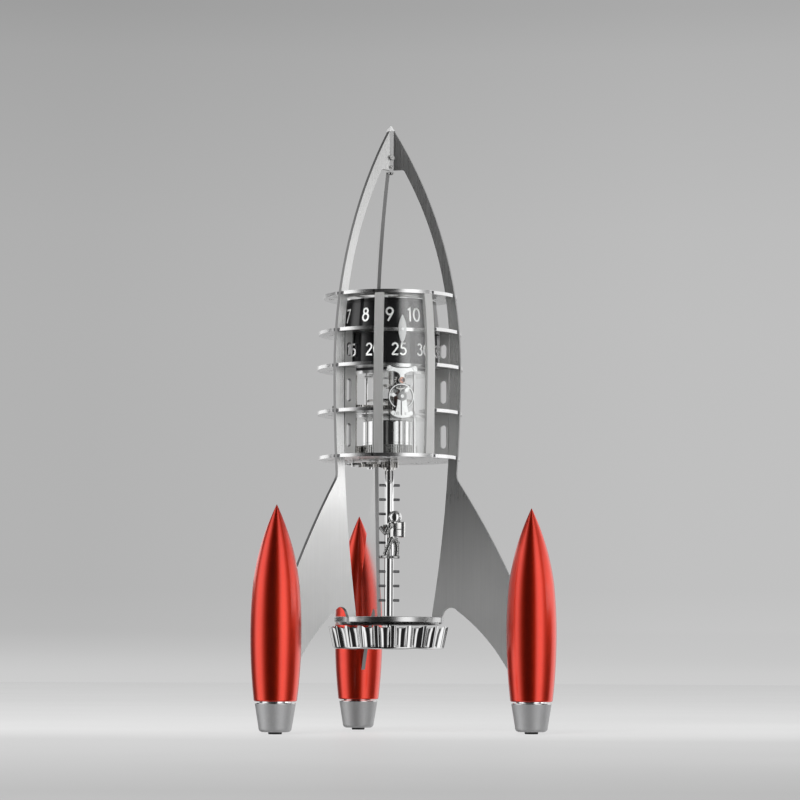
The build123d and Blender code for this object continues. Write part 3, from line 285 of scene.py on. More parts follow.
def ramp(tree, value, stops):
    """Grey level that follows a value through (position, level) stops."""
    made = add_node(tree, "ValToRGB", {0: value})
    elements = made.color_ramp.elements
    while len(elements) < len(stops):
        elements.new(0.5)
    for element, (position, level) in zip(elements, stops):
        element.position = position
        element.color = (level, level, level, 1)
    return made.outputs[0]


class Paint:
    """A material with a Principled shader and short ways to add nodes to it."""

    def __init__(self, name, **values):
        self.material = bpy.data.materials.new(name)
        self.material.use_nodes = True
        self.tree = self.material.node_tree
        self.shader = self.tree.nodes["Principled BSDF"]
        for key, value in values.items():
            self.shader.inputs[key.replace("_", " ")].default_value = value

    def node(self, kind, links=None, **values):
        return add_node(self.tree, kind, links, **values)

    def math(self, operation, *values):
        return calculate(self.tree, operation, *values)

    def place(self, scale):
        """Position on the piece in metres, stretched by scale."""
        where = self.node("TexCoord").outputs["Object"]
        return self.node("Mapping", {"Vector": where, "Scale": scale}).outputs[0]

    def round_place(self, across, around, along):
        """Position as (radius, angle, height) about the rocket's axis, for turned grain."""
        where = self.node("SeparateXYZ", {0: self.node("TexCoord").outputs["Object"]})
        x, y, z = where.outputs
        square = self.math("MULTIPLY", x, x)
        other = self.math("MULTIPLY", y, y)
        total = self.math("ADD", square, other)
        radius = self.math("SQRT", total)
        turn = self.math("ARCTAN2", y, x)
        parts = []
        for value, factor in ((radius, across), (turn, around), (z, along)):
            parts.append(self.math("MULTIPLY", value, factor))
        return self.node("CombineXYZ", dict(zip("XYZ", parts))).outputs[0]

    def noise(self, place, scale=1.0, detail=4.0, rough=0.6):
        links = {"Vector": place, "Scale": scale, "Detail": detail, "Roughness": rough}
        return self.node("TexNoise", links).outputs["Fac"]

    def spread(self, value, low, high, start=0.3, end=0.7):
        """Map a noise value to the range low..high."""
        links = {"Value": value, "From Min": start, "From Max": end, "To Min": low, "To Max": high}
        return self.node("MapRange", links).outputs[0]

    def blend(self, factor, a, b):
        """Colour between a and b."""
        mix = self.node("Mix", data_type="RGBA")
        self.tree.links.new(factor, mix.inputs["Factor"])
        for key, value in (("A", a), ("B", b)):
            socket = [s for s in mix.inputs if s.name == key and s.type == "RGBA"][0]
            if isinstance(value, bpy.types.NodeSocket):
                self.tree.links.new(value, socket)
            else:
                socket.default_value = (*value, 1)
        return [s for s in mix.outputs if s.type == "RGBA"][0]

    def set(self, **links):
        """Feed the shader's inputs."""
        for key, value in links.items():
            self.tree.links.new(value, self.shader.inputs[key.replace("_", " ")])

    def surface(self, output):
        """Use a shader of its own in place of the Principled one."""
        self.tree.links.new(output, self.tree.nodes["Material Output"].inputs["Surface"])

    def bump(self, height, strength, depth):
        links = {"Height": height, "Strength": strength, "Distance": depth}
        self.set(Normal=self.node("Bump", links).outputs[0])


def steel(name, colour, roughness, grain, swing=0.06, bump=0.12, stretch=0.0, across=(0, 0, 1), turned=False,
          rough_foot=0.0, metallic=1.0):
    """Metal with directional grain: colour, roughness and bump all follow the same scratches.

    With rough_foot, the brushing gets coarser from 160 mm height down to 85 mm."""
    paint = Paint(name, Metallic=metallic)
    fine_place = paint.round_place(*grain) if turned else paint.place(grain)
    coarse = [g * 0.22 for g in grain]
    coarse_place = paint.round_place(*coarse) if turned else paint.place(coarse)
    fine = paint.noise(fine_place, detail=5)
    broad = paint.noise(coarse_place, detail=3)
    both = paint.math("ADD", fine, broad)
    half = paint.math("MULTIPLY", both, 0.5)
    dark = [c * (1 - swing * 1.6) for c in colour]
    light = [min(1, c * (1 + swing)) for c in colour]
    wear = paint.noise(paint.place((28, 28, 28)), detail=3)
    tone = paint.blend(paint.spread(half, 0, 1, 0.35, 0.65), dark, light)
    smudge = paint.blend(paint.spread(wear, 0, 0.35, 0.45, 0.7), tone, [c * 0.9 for c in colour])
    paint.set(Base_Color=smudge)
    scratch = paint.spread(half, roughness - swing, roughness + swing, 0.35, 0.65)
    haze = paint.spread(wear, 0, swing * 0.6, 0.4, 0.7)
    if rough_foot:
        height = paint.node("SeparateXYZ", {0: paint.node("TexCoord").outputs["Object"]}).outputs[2]
        foot = paint.spread(height, rough_foot, 0.0, 0.085, 0.160)
        haze = paint.math("ADD", haze, foot)
    paint.set(Roughness=paint.math("ADD", scratch, haze))
    paint.bump(half, bump, 0.00004)
    if stretch:
        paint.shader.inputs["Anisotropic"].default_value = stretch
        paint.shader.inputs["Anisotropic Rotation"].default_value = 0.25
        x, y, z = across
        paint.set(Tangent=paint.node("CombineXYZ", {"X": x, "Y": y, "Z": z}).outputs[0])
    return paint.material


def polish(name, colour, roughness=0.05):
    """Mirror-polished plating with faint wipe marks and a little dust."""
    paint = Paint(name, Metallic=1.0)
    wipe = paint.noise(paint.place((160, 160, 90)), detail=6)
    speck = paint.noise(paint.place((1400, 1400, 1400)), detail=2)
    paint.set(Roughness=paint.spread(wipe, roughness * 0.6, roughness * 1.7))
    dusty = [c * 0.82 for c in colour]
    paint.set(Base_Color=paint.blend(paint.spread(speck, 0, 0.3, 0.55, 0.75), colour, dusty))
    paint.bump(wipe, 0.03, 0.0001)
    return paint.material


fin_steel = steel("fin_steel", (0.93, 0.93, 0.925), 0.28, (5200, 5200, 60), 0.03, 0.05, 0.7, rough_foot=0.22)
# Cut edges of the fins and panels: rougher than the faces, and given a darker colour that is painted shade
shade_darkened_edge_steel = steel("shade_darkened_edge_steel", (0.33, 0.33, 0.33), 0.38, (900, 900, 2600), 0.05, 0.15)
post_steel = steel("post_steel", (0.80, 0.80, 0.79), 0.52, (3400, 3400, 60), 0.04, 0.08, 0.3, metallic=0.88)
plate_grey = steel("plate_grey", (0.30, 0.30, 0.30), 0.30, (900, 60, 900), 0.05, 0.06)
rear_steel = steel("rear_steel", (0.90, 0.90, 0.895), 0.13, (5200, 5200, 60), 0.02, 0.03, 0.2)
tip_steel = steel("tip_steel", (0.85, 0.85, 0.85), 0.42, (1800, 1800, 200), 0.05, 0.08, metallic=0.5)
nose_steel = steel("nose_steel", (0.50, 0.50, 0.50), 0.34, (2600, 2600, 90), 0.05, 0.08)
ring_face = steel("ring_face", (0.58, 0.58, 0.58), 0.26, (2600, 3, 300), 0.06, 0.08, turned=True)
ring_edge = steel("ring_edge", (0.92, 0.92, 0.92), 0.24, (300, 3, 3200), 0.04, 0.05, turned=True)
bridge_steel = steel("bridge_steel", (0.72, 0.72, 0.71), 0.22, (900, 60, 900), 0.06, 0.06)
wheel_steel = steel("wheel_steel", (0.62, 0.61, 0.595), 0.16, (700, 700, 700), 0.06, 0.06)
satin_alloy = steel("satin_alloy", (0.58, 0.58, 0.585), 0.56, (3400, 3400, 3400), 0.06, 0.35, metallic=0.8)
disc_steel = steel("disc_steel", (0.70, 0.70, 0.70), 0.24, (400, 2, 3000), 0.06, 0.06, turned=True)
chrome = polish("chrome", (0.86, 0.86, 0.86), 0.035)
crown_chrome = polish("crown_chrome", (0.76, 0.76, 0.76), 0.035)
# Darker copy of the chrome: on the astronaut's limbs this darker colour is painted shade, standing in for the
# dark surroundings they reflect
shade_darkened_chrome = polish("shade_darkened_chrome", (0.40, 0.40, 0.395), 0.09)
suit_metal = polish("suit_metal", (0.74, 0.74, 0.73), 0.16)
dark_metal = steel("dark_metal", (0.16, 0.16, 0.165), 0.30, (800, 800, 800), 0.05, 0.08)
copper = steel("copper", (0.72, 0.40, 0.30), 0.20, (900, 900, 900), 0.05, 0.05)
pointer_metal = steel("pointer_metal", (0.88, 0.88, 0.88), 0.45, (1500, 1500, 1500), 0.04, 0.15)


def red_anodised():
    """Anodised red under a clear coat, with fine lathe marks and pale clouds."""
    paint = Paint("red_anodised", Metallic=1.0, Coat_Weight=1.0, Coat_Roughness=0.16, Coat_IOR=1.52)
    grit = paint.noise(paint.place((2600, 2600, 2600)), detail=3)
    lathe_marks = paint.noise(paint.place((120, 120, 1500)), detail=4)
    cloud = paint.noise(paint.place((30, 30, 30)), detail=3)
    base = paint.blend(paint.spread(grit, 0, 1), (0.86, 0.030, 0.008), (1.0, 0.062, 0.018))
    tone = paint.blend(paint.spread(cloud, 0, 0.3), base, (0.76, 0.008, 0.004))
    paint.set(Base_Color=tone)
    paint.set(Roughness=paint.spread(lathe_marks, 0.32, 0.40))
    paint.bump(grit, 0.22, 0.00003)
    paint.shader.inputs["Coat Tint"].default_value = (1, 0.97, 0.95, 1)
    return paint.material


def gloss_black():
    """Black lacquer on the drums."""
    paint = Paint("gloss_black", Coat_Weight=0.5, Coat_Roughness=0.06)
    fleck = paint.noise(paint.round_place(900, 8, 900), detail=4)
    wipe = paint.noise(paint.place((60, 60, 60)), detail=5)
    tone = paint.blend(paint.spread(fleck, 0, 1), (0.0035, 0.0035, 0.004), (0.010, 0.010, 0.011))
    paint.set(Base_Color=tone)
    paint.set(Roughness=paint.spread(wipe, 0.10, 0.22))
    paint.bump(fleck, 0.05, 0.00005)
    return paint.material


def printed_white():
    """Ink of the numbers."""
    paint = Paint("printed_white", Roughness=0.42)
    ink = paint.noise(paint.place((900, 900, 900)), detail=4)
    paint.set(Base_Color=paint.blend(paint.spread(ink, 0, 1), (0.84, 0.84, 0.83), (0.93, 0.93, 0.92)))
    paint.bump(ink, 0.12, 0.00003)
    return paint.material


def rubber():
    """Moulded feet pads."""
    paint = Paint("rubber", Roughness=0.8)
    grain = paint.noise(paint.place((1500, 1500, 1500)), detail=5)
    paint.set(Base_Color=paint.blend(paint.spread(grain, 0, 1), (0.010, 0.010, 0.010), (0.028, 0.028, 0.028)))
    paint.set(Roughness=paint.spread(grain, 0.6, 0.9))
    paint.bump(grain, 0.5, 0.0001)
    return paint.material


def ruby():
    """Bearing jewel."""
    paint = Paint("ruby", Transmission_Weight=0.35, IOR=1.76, Roughness=0.05)
    cloud = paint.noise(paint.place((700, 700, 700)), detail=3)
    paint.set(Base_Color=paint.blend(paint.spread(cloud, 0, 1), (0.20, 0.004, 0.02), (0.42, 0.02, 0.05)))
    return paint.material


def clear_glass():
    """Thin curved pane: see-through, with a mirror film on its outer side only."""
    paint = Paint("clear_glass")
    smear = paint.noise(paint.place((35, 35, 12)), detail=5)
    rough = paint.spread(smear, 0.015, 0.05)
    shine = paint.node("BsdfGlossy", {"Roughness": rough, "Color": (1, 1, 1, 1)})
    through = paint.node("BsdfTransparent", {"Color": (0.985, 0.99, 0.988, 1)})
    inside = paint.node("NewGeometry").outputs["Backfacing"]
    outside = paint.math("SUBTRACT", 1.0, inside)
    sheen = paint.node("Fresnel", {"IOR": 1.75}).outputs[0]
    mirror = paint.math("MULTIPLY", sheen, outside)
    film = paint.spread(smear, 1.2, 1.5)
    amount = paint.math("MULTIPLY", mirror, film)
    mix = paint.node("MixShader", {0: amount, 1: through.outputs[0], 2: shine.outputs[0]})
    paint.surface(mix.outputs[0])
    return paint.material


red = red_anodised()
black = gloss_black()
white = printed_white()
pad_rubber = rubber()
jewel = ruby()
glass = clear_glass()


def dress(node, material, other=None, test=None, smooth=30):
    """Give a shown CAD node its material, with a second one on the faces that pass the test."""
    piece = frame["nodes"][node]
    mesh = piece.data
    mesh.materials.clear()
    mesh.materials.append(material)
    if other:
        mesh.materials.append(other)
    for face in mesh.polygons:
        face.use_smooth = True
        face.material_index = 1 if other and test(face.normal) else 0
    mesh.set_sharp_from_angle(angle=radians(smooth))


def on_side(normal):
    """True for the rim of a level plate."""
    return abs(normal.z) < 0.7


for side, heading in FIN_HEADINGS.items():
    out = heading_point(heading, 1)
    across = Vector((out.y, -out.x, 0))
    face_metal = rear_steel if side == "rear" else fin_steel
    dress(f"fin_{side}", face_metal, shade_darkened_edge_steel, lambda n, a=across: abs(n.dot(a)) < 0.7)
    dress(f"panel_{side}", post_steel, shade_darkened_edge_steel, lambda n, a=across: abs(n.dot(a)) < 0.7)
for number in range(1, 6):
    dress(f"ring_plate_{number}", ring_face, ring_edge, on_side)
for node in ("front_post_left", "front_post_right"):
    dress(node, post_steel)
for node in ("barrel_bridge", "train_bridge"):
    dress(node, bridge_steel, ring_edge, on_side)
for node in ("second_wheel", "centre_wheel", "third_wheel", "motion_wheel", "hour_wheel", "cannon_pinion",
             "escape_wheel", "pallet_fork", "setting_knob", "ratchet_wheel", "winding_gear"):
    dress(node, wheel_steel)
dress("nose_post", nose_steel)
dress("nose_tip", tip_steel)
for node in ("movement_pillars", "winding_shaft", "barrel_cover", "movement_studs",
             "click", "click_spring"):
    dress(node, chrome)
dress("regulator_plate", plate_grey)
dress("mainspring", dark_metal)
dress("base_disc", disc_steel, ring_edge, lambda n: 0.3 < abs(n.z) < 0.9)
dress("foot_pads", pad_rubber)

# ---- Pods and their feet ---------------------------------------------------
pod_profile = [(0, 21.3), (12.9, 21.3)]
pod_profile += arc((13.2, 21.3), (14.0, 21.7), (14.3, 22.6), 8)
pod_profile += arc((14.3, 22.6), (16.25, 45.4), (16.85, 67.0), 24)[1:]
pod_profile += arc((16.85, 67.0), (16.44, 83.5), (15.2, 100.0), 20)[1:]
pod_profile += arc((15.2, 100.0), (9.55, 126.2), (0.25, 150.1), 36)[1:]
pod_profile += [(0, 150.5)]
foot_profile = arc((8.6, 1.4), (10.0, 2.1), (10.9, 4.2), 8) + [(13.4, 19.8)]
lip_profile = [(13.4, 19.8), (13.45, 20.1), (13.2, 20.45), (12.7, 20.55), (10.6, 20.55), (10.5, 21.3)]
for side, heading in FIN_HEADINGS.items():
    centre = heading_point(heading, POD_CIRCLE)
    place = upright(centre.x, centre.y)
    shell = add(f"pod_shell_{side}", lathe(pod_profile, 128), red, [f"pod_{side}"], place)
    shell.visible_glossy = side == "rear"
    add(f"foot_body_{side}", lathe([(4.5, 1.4)] + foot_profile, 96), satin_alloy, [f"pod_foot_{side}"], place)
    add(f"foot_lip_{side}", lathe(lip_profile, 96), chrome, [f"pod_foot_{side}"], place, hides=False)

# ---- Nose fasteners --------------------------------------------------------


def screw_head(radius, thick, slot_width, turn):
    """Slotted head with its face at local z = thick: two half discs over a slot floor."""
    parts = [lathe([(0, 0), (radius, 0), (radius, thick * 0.45), (0, thick * 0.45)], 40)]
    for half in (0, 180):
        start = asin(slot_width / 2 / radius)
        rim = [
            (radius * cos(start + (pi - 2 * start) * i / 20), radius * sin(start + (pi - 2 * start) * i / 20))
            for i in range(21)
        ]
        parts.append(moved(plate([rim], thick * 0.4, thick, bevel=min(0.25, thick * 0.25)), spun(half)))
    return moved(joined(*parts), spun(turn))


nose_parts = [
    moved(screw_head(1.7, 0.8, 0.4, 20), front(2.75, 0, 391.7)),
    moved(screw_head(1.1, 0.7, 0.3, 65), front(2.25, 0, 385.2)),
    moved(lathe([(0.7, 0), (0.7, 0.5)], 24), front(2.25, 0, 391.7)),
    lathe(arc((0, 379.9), (1.6, 380.3), (2.0, 381.5), 8) + [(0, 381.5)], 40),
]
add("nose_screws", joined(*nose_parts), shade_darkened_chrome, ["nose_fasteners"])

# ---- Drums, with their numbers ---------------------------------------------
HOUR_DRUM = ((271.9, 33.4), (292.3, 31.3))
MINUTE_DRUM = ((247.6, 34.6), (268.3, 34.0))


def drum(name, wall, node):
    """Lacquered outer skin with rounded lips, and the dark inner side of the wall."""
    (low, low_radius), (high, high_radius) = wall
    rows = 6
    outer = [
        (low_radius + (high_radius - low_radius) * i / rows, low + (high - low) * i / rows)
        for i in range(rows + 1)
    ]
    lip = 0.12
    profile = [(low_radius - 0.8, low), (low_radius - lip, low)]
    profile += [(outer[0][0], low + lip)] + outer[1:-1] + [(outer[-1][0], high - lip)]
    profile += [(high_radius - lip, high), (high_radius - 0.8, high)]
    add(f"{name}_skin", lathe(profile, 192), black, [node])
    inside = [(low_radius - 0.8, low), (high_radius - 0.8, high)]
    add(f"{name}_inside", lathe(inside, 128), dark_metal, [node], hides=False)


def strokes_of(digit):
    """Centre lines of one geometric sans-serif digit, in a box one unit tall."""
    t = 0.065
    top, bottom = 1 - t, t

    def ring(x, y, rx, ry, start=0.0, end=360.0, steps=28):
        return [
            (x + rx * cos(radians(start + (end - start) * i / steps)),
             y + ry * sin(radians(start + (end - start) * i / steps)))
            for i in range(steps + 1)
        ]

    if digit == "0":
        return [ring(0, 0.5, 0.235, 0.5 - t)]
    if digit == "1":
        return [[(-0.13, 0.80), (0.02, top - 0.005), (0.02, 0.0)]]
    if digit == "2":
        bowl = ring(0.0, 0.715, 0.205, 0.22, 172, -38, 20)
        return [bowl + [(-0.235, bottom)], [(-0.26, bottom), (0.25, bottom)]]
    if digit == "3":
        upper = ring(-0.01, 0.745, 0.165, 0.19, 160, -90, 18)
        lower = ring(-0.01, 0.31, 0.215, 0.245, 90, -165, 20)
        return [upper, lower]
    if digit == "4":
        return [[(0.13, 0.0), (0.13, top - 0.03), (-0.27, 0.285), (0.27, 0.285)]]
    if digit == "5":
        bowl = ring(-0.02, 0.325, 0.235, 0.26, 122, -150, 24)
        return [[(0.20, top), (-0.115, top), (-0.155, 0.535)], bowl]
    if digit == "6":
        return [ring(0, 0.305, 0.225, 0.24), [(0.12, 1.0), (-0.19, 0.43)]]
    if digit == "7":
        return [[(-0.23, top), (0.20, top), (-0.10, 0.0)]]
    if digit == "8":
        return [ring(0, 0.75, 0.16, 0.185), ring(0, 0.315, 0.215, 0.25)]
    return [ring(0, 0.695, 0.225, 0.24), [(-0.12, 0.0), (0.19, 0.57)]]


def ribbon(line, width):
    """Left and right edges of a stroke with mitred corners, cut into short steps."""
    points = [Vector(p) for p in line]
    closed = (points[0] - points[-1]).length < 1e-6
    if closed:
        points = points[:-1]
    count = len(points)
    edges = []
    for i, here in enumerate(points):
        before = points[i - 1] if closed or i else None
        after = points[(i + 1) % count] if closed or i < count - 1 else None
        first = (here - before).normalized() if before is not None else (after - here).normalized()
        second = (after - here).normalized() if after is not None else first
        normal = Vector((-first.y - second.y, first.x + second.x)).normalized()
        reach = min(2.2, 1 / max(0.2, normal.dot(Vector((-first.y, first.x)))))
        edges.append((here + normal * width / 2 * reach, here - normal * width / 2 * reach))
    if closed:
        edges.append(edges[0])
    fine = []
    for (a, b), (c, d) in zip(edges, edges[1:]):
        pieces = max(1, ceil((c - a).length / 0.05))
        fine += [(a.lerp(c, k / pieces), b.lerp(d, k / pieces)) for k in range(pieces)]
    return fine + [edges[-1]]


def numbers(name, labels, first_heading, centre, height, wall, node):
    """Printed numbers wrapped round a drum, thirty degrees apart."""
    (low, low_radius), (high, high_radius) = wall
    points, faces = [], []
    advance = {"1": 0.44}
    for place, label in enumerate(labels):
        middle = first_heading + 30 * place
        widths = [advance.get(d, 0.64) * height for d in label]
        start = -sum(widths) / 2
        for digit, width in zip(label, widths):
            at_x = start + width / 2
            start += width
            for line in strokes_of(digit):
                for k, pair in enumerate(ribbon(line, 0.13)):
                    for corner in pair:
                        z = centre + (corner.y - 0.5) * height
                        radius = low_radius + (high_radius - low_radius) * (z - low) / (high - low) + 0.03
                        turn = middle + degrees((at_x + corner.x * height) / radius)
                        points.append(heading_point(turn, radius, z))
                    if k:
                        n = len(points)
                        faces.append([n - 4, n - 3, n - 1, n - 2])
    add(name, raw(points, faces), white, [node], hides=False)


HOURS = [str((h + 8) % 12 + 1) for h in range(12)]
MINUTES = ["%02d" % ((25 + 5 * m) % 60) for m in range(12)]
drum("hour_drum", HOUR_DRUM, "hour_drum")
drum("minute_drum", MINUTE_DRUM, "minute_drum")
numbers("hour_numbers", HOURS, -13.0, 280.7, 9.6, HOUR_DRUM, "hour_drum")
numbers("minute_numbers", MINUTES, -2.0, 257.0, 8.7, MINUTE_DRUM, "minute_drum")
rim_profile = [(30.0, 291.9), (31.32, 291.9), (31.35, 292.25), (31.3, 292.3), (29.8, 292.3), (29.8, 291.9)]
add("hour_drum_rim", lathe(rim_profile, 160), ring_edge, ["hour_drum"], hides=False)


def drum_web(name, height, reach, hub, hub_low, hub_high, node):
    """Spoked disc inside a drum, with its hub."""
    holes = [circle(reach * 0.24, *heading_point(60 * i + 90, reach * 0.55).xy) for i in range(6)]
    web = plate([circle(reach, steps=96), circle(hub - 0.4)] + holes, height, height + 1.2, 0.15)
    boss = lathe([(hub - 0.6, hub_low), (hub, hub_low), (hub, hub_high), (hub - 0.6, hub_high)], 48)
    add(name, joined(web, boss), wheel_steel, [node], hides=False)


drum_web("minute_drum_web", 250.0, 33.7, 4.5, 249.0, 254.0, "minute_drum")
drum_web("hour_drum_web", 288.4, 30.9, 4.8, 286.0, 290.4, "hour_drum")

# ---- Pointer ---------------------------------------------------------------
lozenge = []
for start, aside in ((9.85, -2.8), (-9.85, 2.8)):
    lozenge += arc((0, start), (aside, 0), (0, -start), 24)[:-1]
pointer_parts = [
    moved(plate([lozenge], 0.0, 0.7, 0.12), front(38.1, 0, POINTER_HEIGHT)),
    moved(lathe([(1.4, 0), (1.4, 0.9)], 32), front(37.2, 0, POINTER_HEIGHT)),
]
add("pointer_hand", joined(*pointer_parts), pointer_metal, ["pointer"])

# ---- Regulator: cock, bell-shaped bridge, balance and screws ---------------
cock_bar = arc((10.5, 243.5), (8.6, 245.4), (7.0, 244.5), 8) + [(4.0, 243.9), (-4.0, 243.9), (-7.0, 244.5)]
cock_bar += arc((-7.0, 244.5), (-8.6, 245.4), (-10.5, 243.5), 8)[1:]
cock_bar += arc((-10.5, 243.5), (-10.2, 242.0), (-8.9, 241.6), 5)[1:]
cock_bar += [(-5.6, 241.5), (-3.2, 240.6), (-1.7, 239.3), (-1.5, 237.6)]
cock_bar += arc((-1.8, 237.2), (-2.4, 235.0), (-0.9, 233.4), 8)
cock_bar += arc((0.9, 233.4), (2.4, 235.0), (1.8, 237.2), 8)
cock_bar += [(1.5, 237.6), (1.7, 239.3), (3.2, 240.6), (5.6, 241.5)]
cock_bar += arc((8.9, 241.6), (10.2, 242.0), (10.5, 243.5), 5)[:-1]
cock = plate([cock_bar[::-1], circle(1.25, 0, JEWEL_HEIGHT, 24)], 0, 1.3, 0.15)
add("cock_plate", cock, chrome, ["regulator_cock"], front(COCK_DEPTH), smooth=50)
ring = lathe([(0.85, 0.2), (2.1, 0.2), (2.15, 1.45), (1.9, 1.55), (0.85, 1.25), (0.85, 0.2)], 40)
add("cock_setting", ring, copper, ["regulator_cock"], front(COCK_DEPTH, 0, JEWEL_HEIGHT), hides=False)
stone = lathe([(0, 0.3), (0.75, 0.3), (0.72, 1.05), (0.3, 1.25), (0, 1.1)], 32)
add("cock_jewel", stone, jewel, ["regulator_cock"], front(COCK_DEPTH, 0, JEWEL_HEIGHT), hides=False)

bell_left = arc((-3.2, 222.6), (-3.9, 217.0), (-5.75, 211.4), 14)
bell_base = arc((-5.75, 211.2), (0, 210.2), (5.75, 211.2), 14)
bell = bell_left + bell_base + [(-x, y) for x, y in bell_left[::-1]]
slot = [(-0.75, 212.2), (-0.25, 212.2), (-0.25, 221.4), (-0.75, 221.4)]
bridge_parts = [
    plate([bell, slot], 0, 1.2, 0.18),
    plate([circle(1.7, -6.0, 213.4, 32)], 0.1, 1.0, 0.2),
    plate([circle(1.7, 6.0, 213.4, 32)], 0.1, 1.0, 0.2),
]
add("bell_bridge", joined(*bridge_parts), chrome, ["balance_bridge"], front(BRIDGE_DEPTH), smooth=50)
boss = plate([circle(3.3, 0, BALANCE_HEIGHT, 48)], 0.0, 1.35, 0.3)
add("bell_boss", boss, plate_grey, ["balance_bridge"], front(BRIDGE_DEPTH), hides=False)
# Painted shade: a dark plate fills the bridge's slot and stands for the shadow seen through it
slot_shade_plate = plate([[(-0.95, 212.1), (-0.15, 212.1), (-0.15, 221.5), (-0.95, 221.5)]], 0.05, 1.25, 0.05)
add("bell_slot_shade", slot_shade_plate, dark_metal, ["balance_bridge"], front(BRIDGE_DEPTH), hides=False)

spokes = []
for turn in (50, 170, 290):
    a = radians(turn)
    outward, aside = Vector((cos(a), sin(a))), Vector((-sin(a), cos(a)))
    shape = [(1.2, -0.85), (4.6, -0.55), (7.9, -1.15), (7.9, 1.15), (4.6, 0.55), (1.2, 0.85)]
    spokes.append(plate([[tuple(outward * r + aside * s) for r, s in shape]], 0, 1.0, 0.12))
    weight = circle(1.5, *(outward * 5.6), 24)
    spokes.append(plate([weight], -0.1, 1.15, 0.2))
rim_ring = plate([circle(8.65, steps=96), circle(7.85, steps=96)], 0.4, 1.1, 0.15)
hub_parts = [lathe([(0, 0), (1.7, 0), (1.7, 0.95), (1.5, 1.1), (0, 1.1)], 40)]
staff = lathe([(0, -5.2), (0.45, -5.2), (0.45, 3.1), (0, 3.1)], 20)
BALANCE_PLACE = front(BALANCE_DEPTH, 0, BALANCE_HEIGHT)
add("balance_rim", joined(rim_ring, staff, *spokes, *hub_parts), chrome, ["balance_wheel"],
    BALANCE_PLACE, smooth=50)
step = plate([circle(9.0, steps=96), circle(7.45, steps=96)], -0.1, 0.5, 0.1)
add("balance_step", step, dark_metal, ["balance_wheel"], BALANCE_PLACE, hides=False, smooth=50)
coil = []
for i in range(241):
    a = 2 * pi * 5 * i / 240
    reach = 1.0 + 0.62 * a / (2 * pi)
    coil.append((reach * cos(a), reach * sin(a), 0.25))
add("hairspring_coil", tube(coil, [0.11] * len(coil), 8), copper, ["hairspring"],
    front(31.9, 0, BALANCE_HEIGHT))
screw_rows = [
    (38.3, -8.6, 243.5, 1.35, 35), (38.3, 8.6, 243.5, 1.35, -20),
    (38.6, -2.9, 213.2, 1.0, 75), (38.6, 2.9, 213.2, 1.0, 15),
    (38.8, 0, POINTER_HEIGHT, 1.1, 25), (38.75, 0, BALANCE_HEIGHT, 1.25, 60),
]
heads = [moved(screw_head(r, 0.5, 0.32, turn), front(d, x, h)) for d, x, h, r, turn in screw_rows]
add("front_screw_heads", joined(*heads), chrome, ["front_screws"])

# ---- Barrel ----------------------------------------------------------------
teeth = []
for i in range(72):
    a = 2 * pi * i / 72
    for radius, turn in ((18.05, -0.028), (19.2, -0.010), (19.2, 0.010), (18.05, 0.028)):
        teeth.append((radius * cos(a + turn), radius * sin(a + turn)))
toothed_ring = plate([teeth, circle(17.0, steps=96)], 188.2, 193.8, 0.05, 1)
add("barrel_teeth", toothed_ring, bridge_steel, ["barrel"], smooth=20)
wall = [(17.0, 189.4), (17.0, 193.8), (18.4, 193.8), (18.4, 195.0), (18.25, 195.1), (18.25, 195.5)]
wall += [(18.4, 195.6), (18.4, 209.7), (18.1, 210.1), (17.8, 210.2), (2.4, 210.2)]
add("barrel_wall", lathe(wall, 160), chrome, ["barrel"], hides=False)
add("barrel_screw", screw_head(1.0, 0.35, 0.3, 40), dark_metal, ["barrel"],
    Matrix.Translation(heading_point(-7.0, 18.3, 203.3))
    @ spun(-7.0) @ spun(90, "X"), hides=False)

# ---- Ladder ----------------------------------------------------------------
column = [(2.2, 77.7), (3.6, 77.7), (3.6, 78.3), (3.175, 78.6)]
column += [(3.175, z) for z in (100, 120, 140, 160, 176.6)] + [(2.9, 177.0), (2.2, 177.1)]
add("column_tube", lathe(column, 64), chrome, ["ladder_column"])
rungs = []
for step in range(9):
    height = 167.1 - 9.75 * step
    for side in (-1, 1):
        length = 7.15 - 2.6
        rod = lathe([(0, 0), (0.9, 0), (0.9, length - 0.25), (0.7, length), (0, length)], 24)
        turn = spun(90 * side, "Y")
        rungs.append(moved(rod, Matrix.Translation((side * 2.6, 0, height)) @ turn))
add("rung_rods", joined(*rungs), dark_metal, ["ladder_rungs"])

# ---- Winding crown ---------------------------------------------------------
FLUTES = 22
CROWN_LOW, CROWN_HIGH = 56.3, 71.7


def crown_radius(height):
    low_radius, high_radius = 37.5, 40.8
    return low_radius + (high_radius - low_radius) * (height - CROWN_LOW) / (CROWN_HIGH - CROWN_LOW)


def scoop(share, period):
    """Depth of the flute at a share -0.5..0.5 of one period, with rounded land corners."""
    reach = abs(share) * period
    cutter, depth = 4.6, 2.9
    half = sqrt(cutter ** 2 - (cutter - depth) ** 2)
    if reach < half:
        raw_depth = sqrt(cutter ** 2 - reach ** 2) - (cutter - depth)
    else:
        raw_depth = 0.0
    soft = max(0.0, 1 - abs(reach - half) / 0.5)
    return raw_depth + 0.12 * soft * soft


per_flute = 28
columns = FLUTES * per_flute
FLUTE_LOW = CROWN_LOW + 1.05
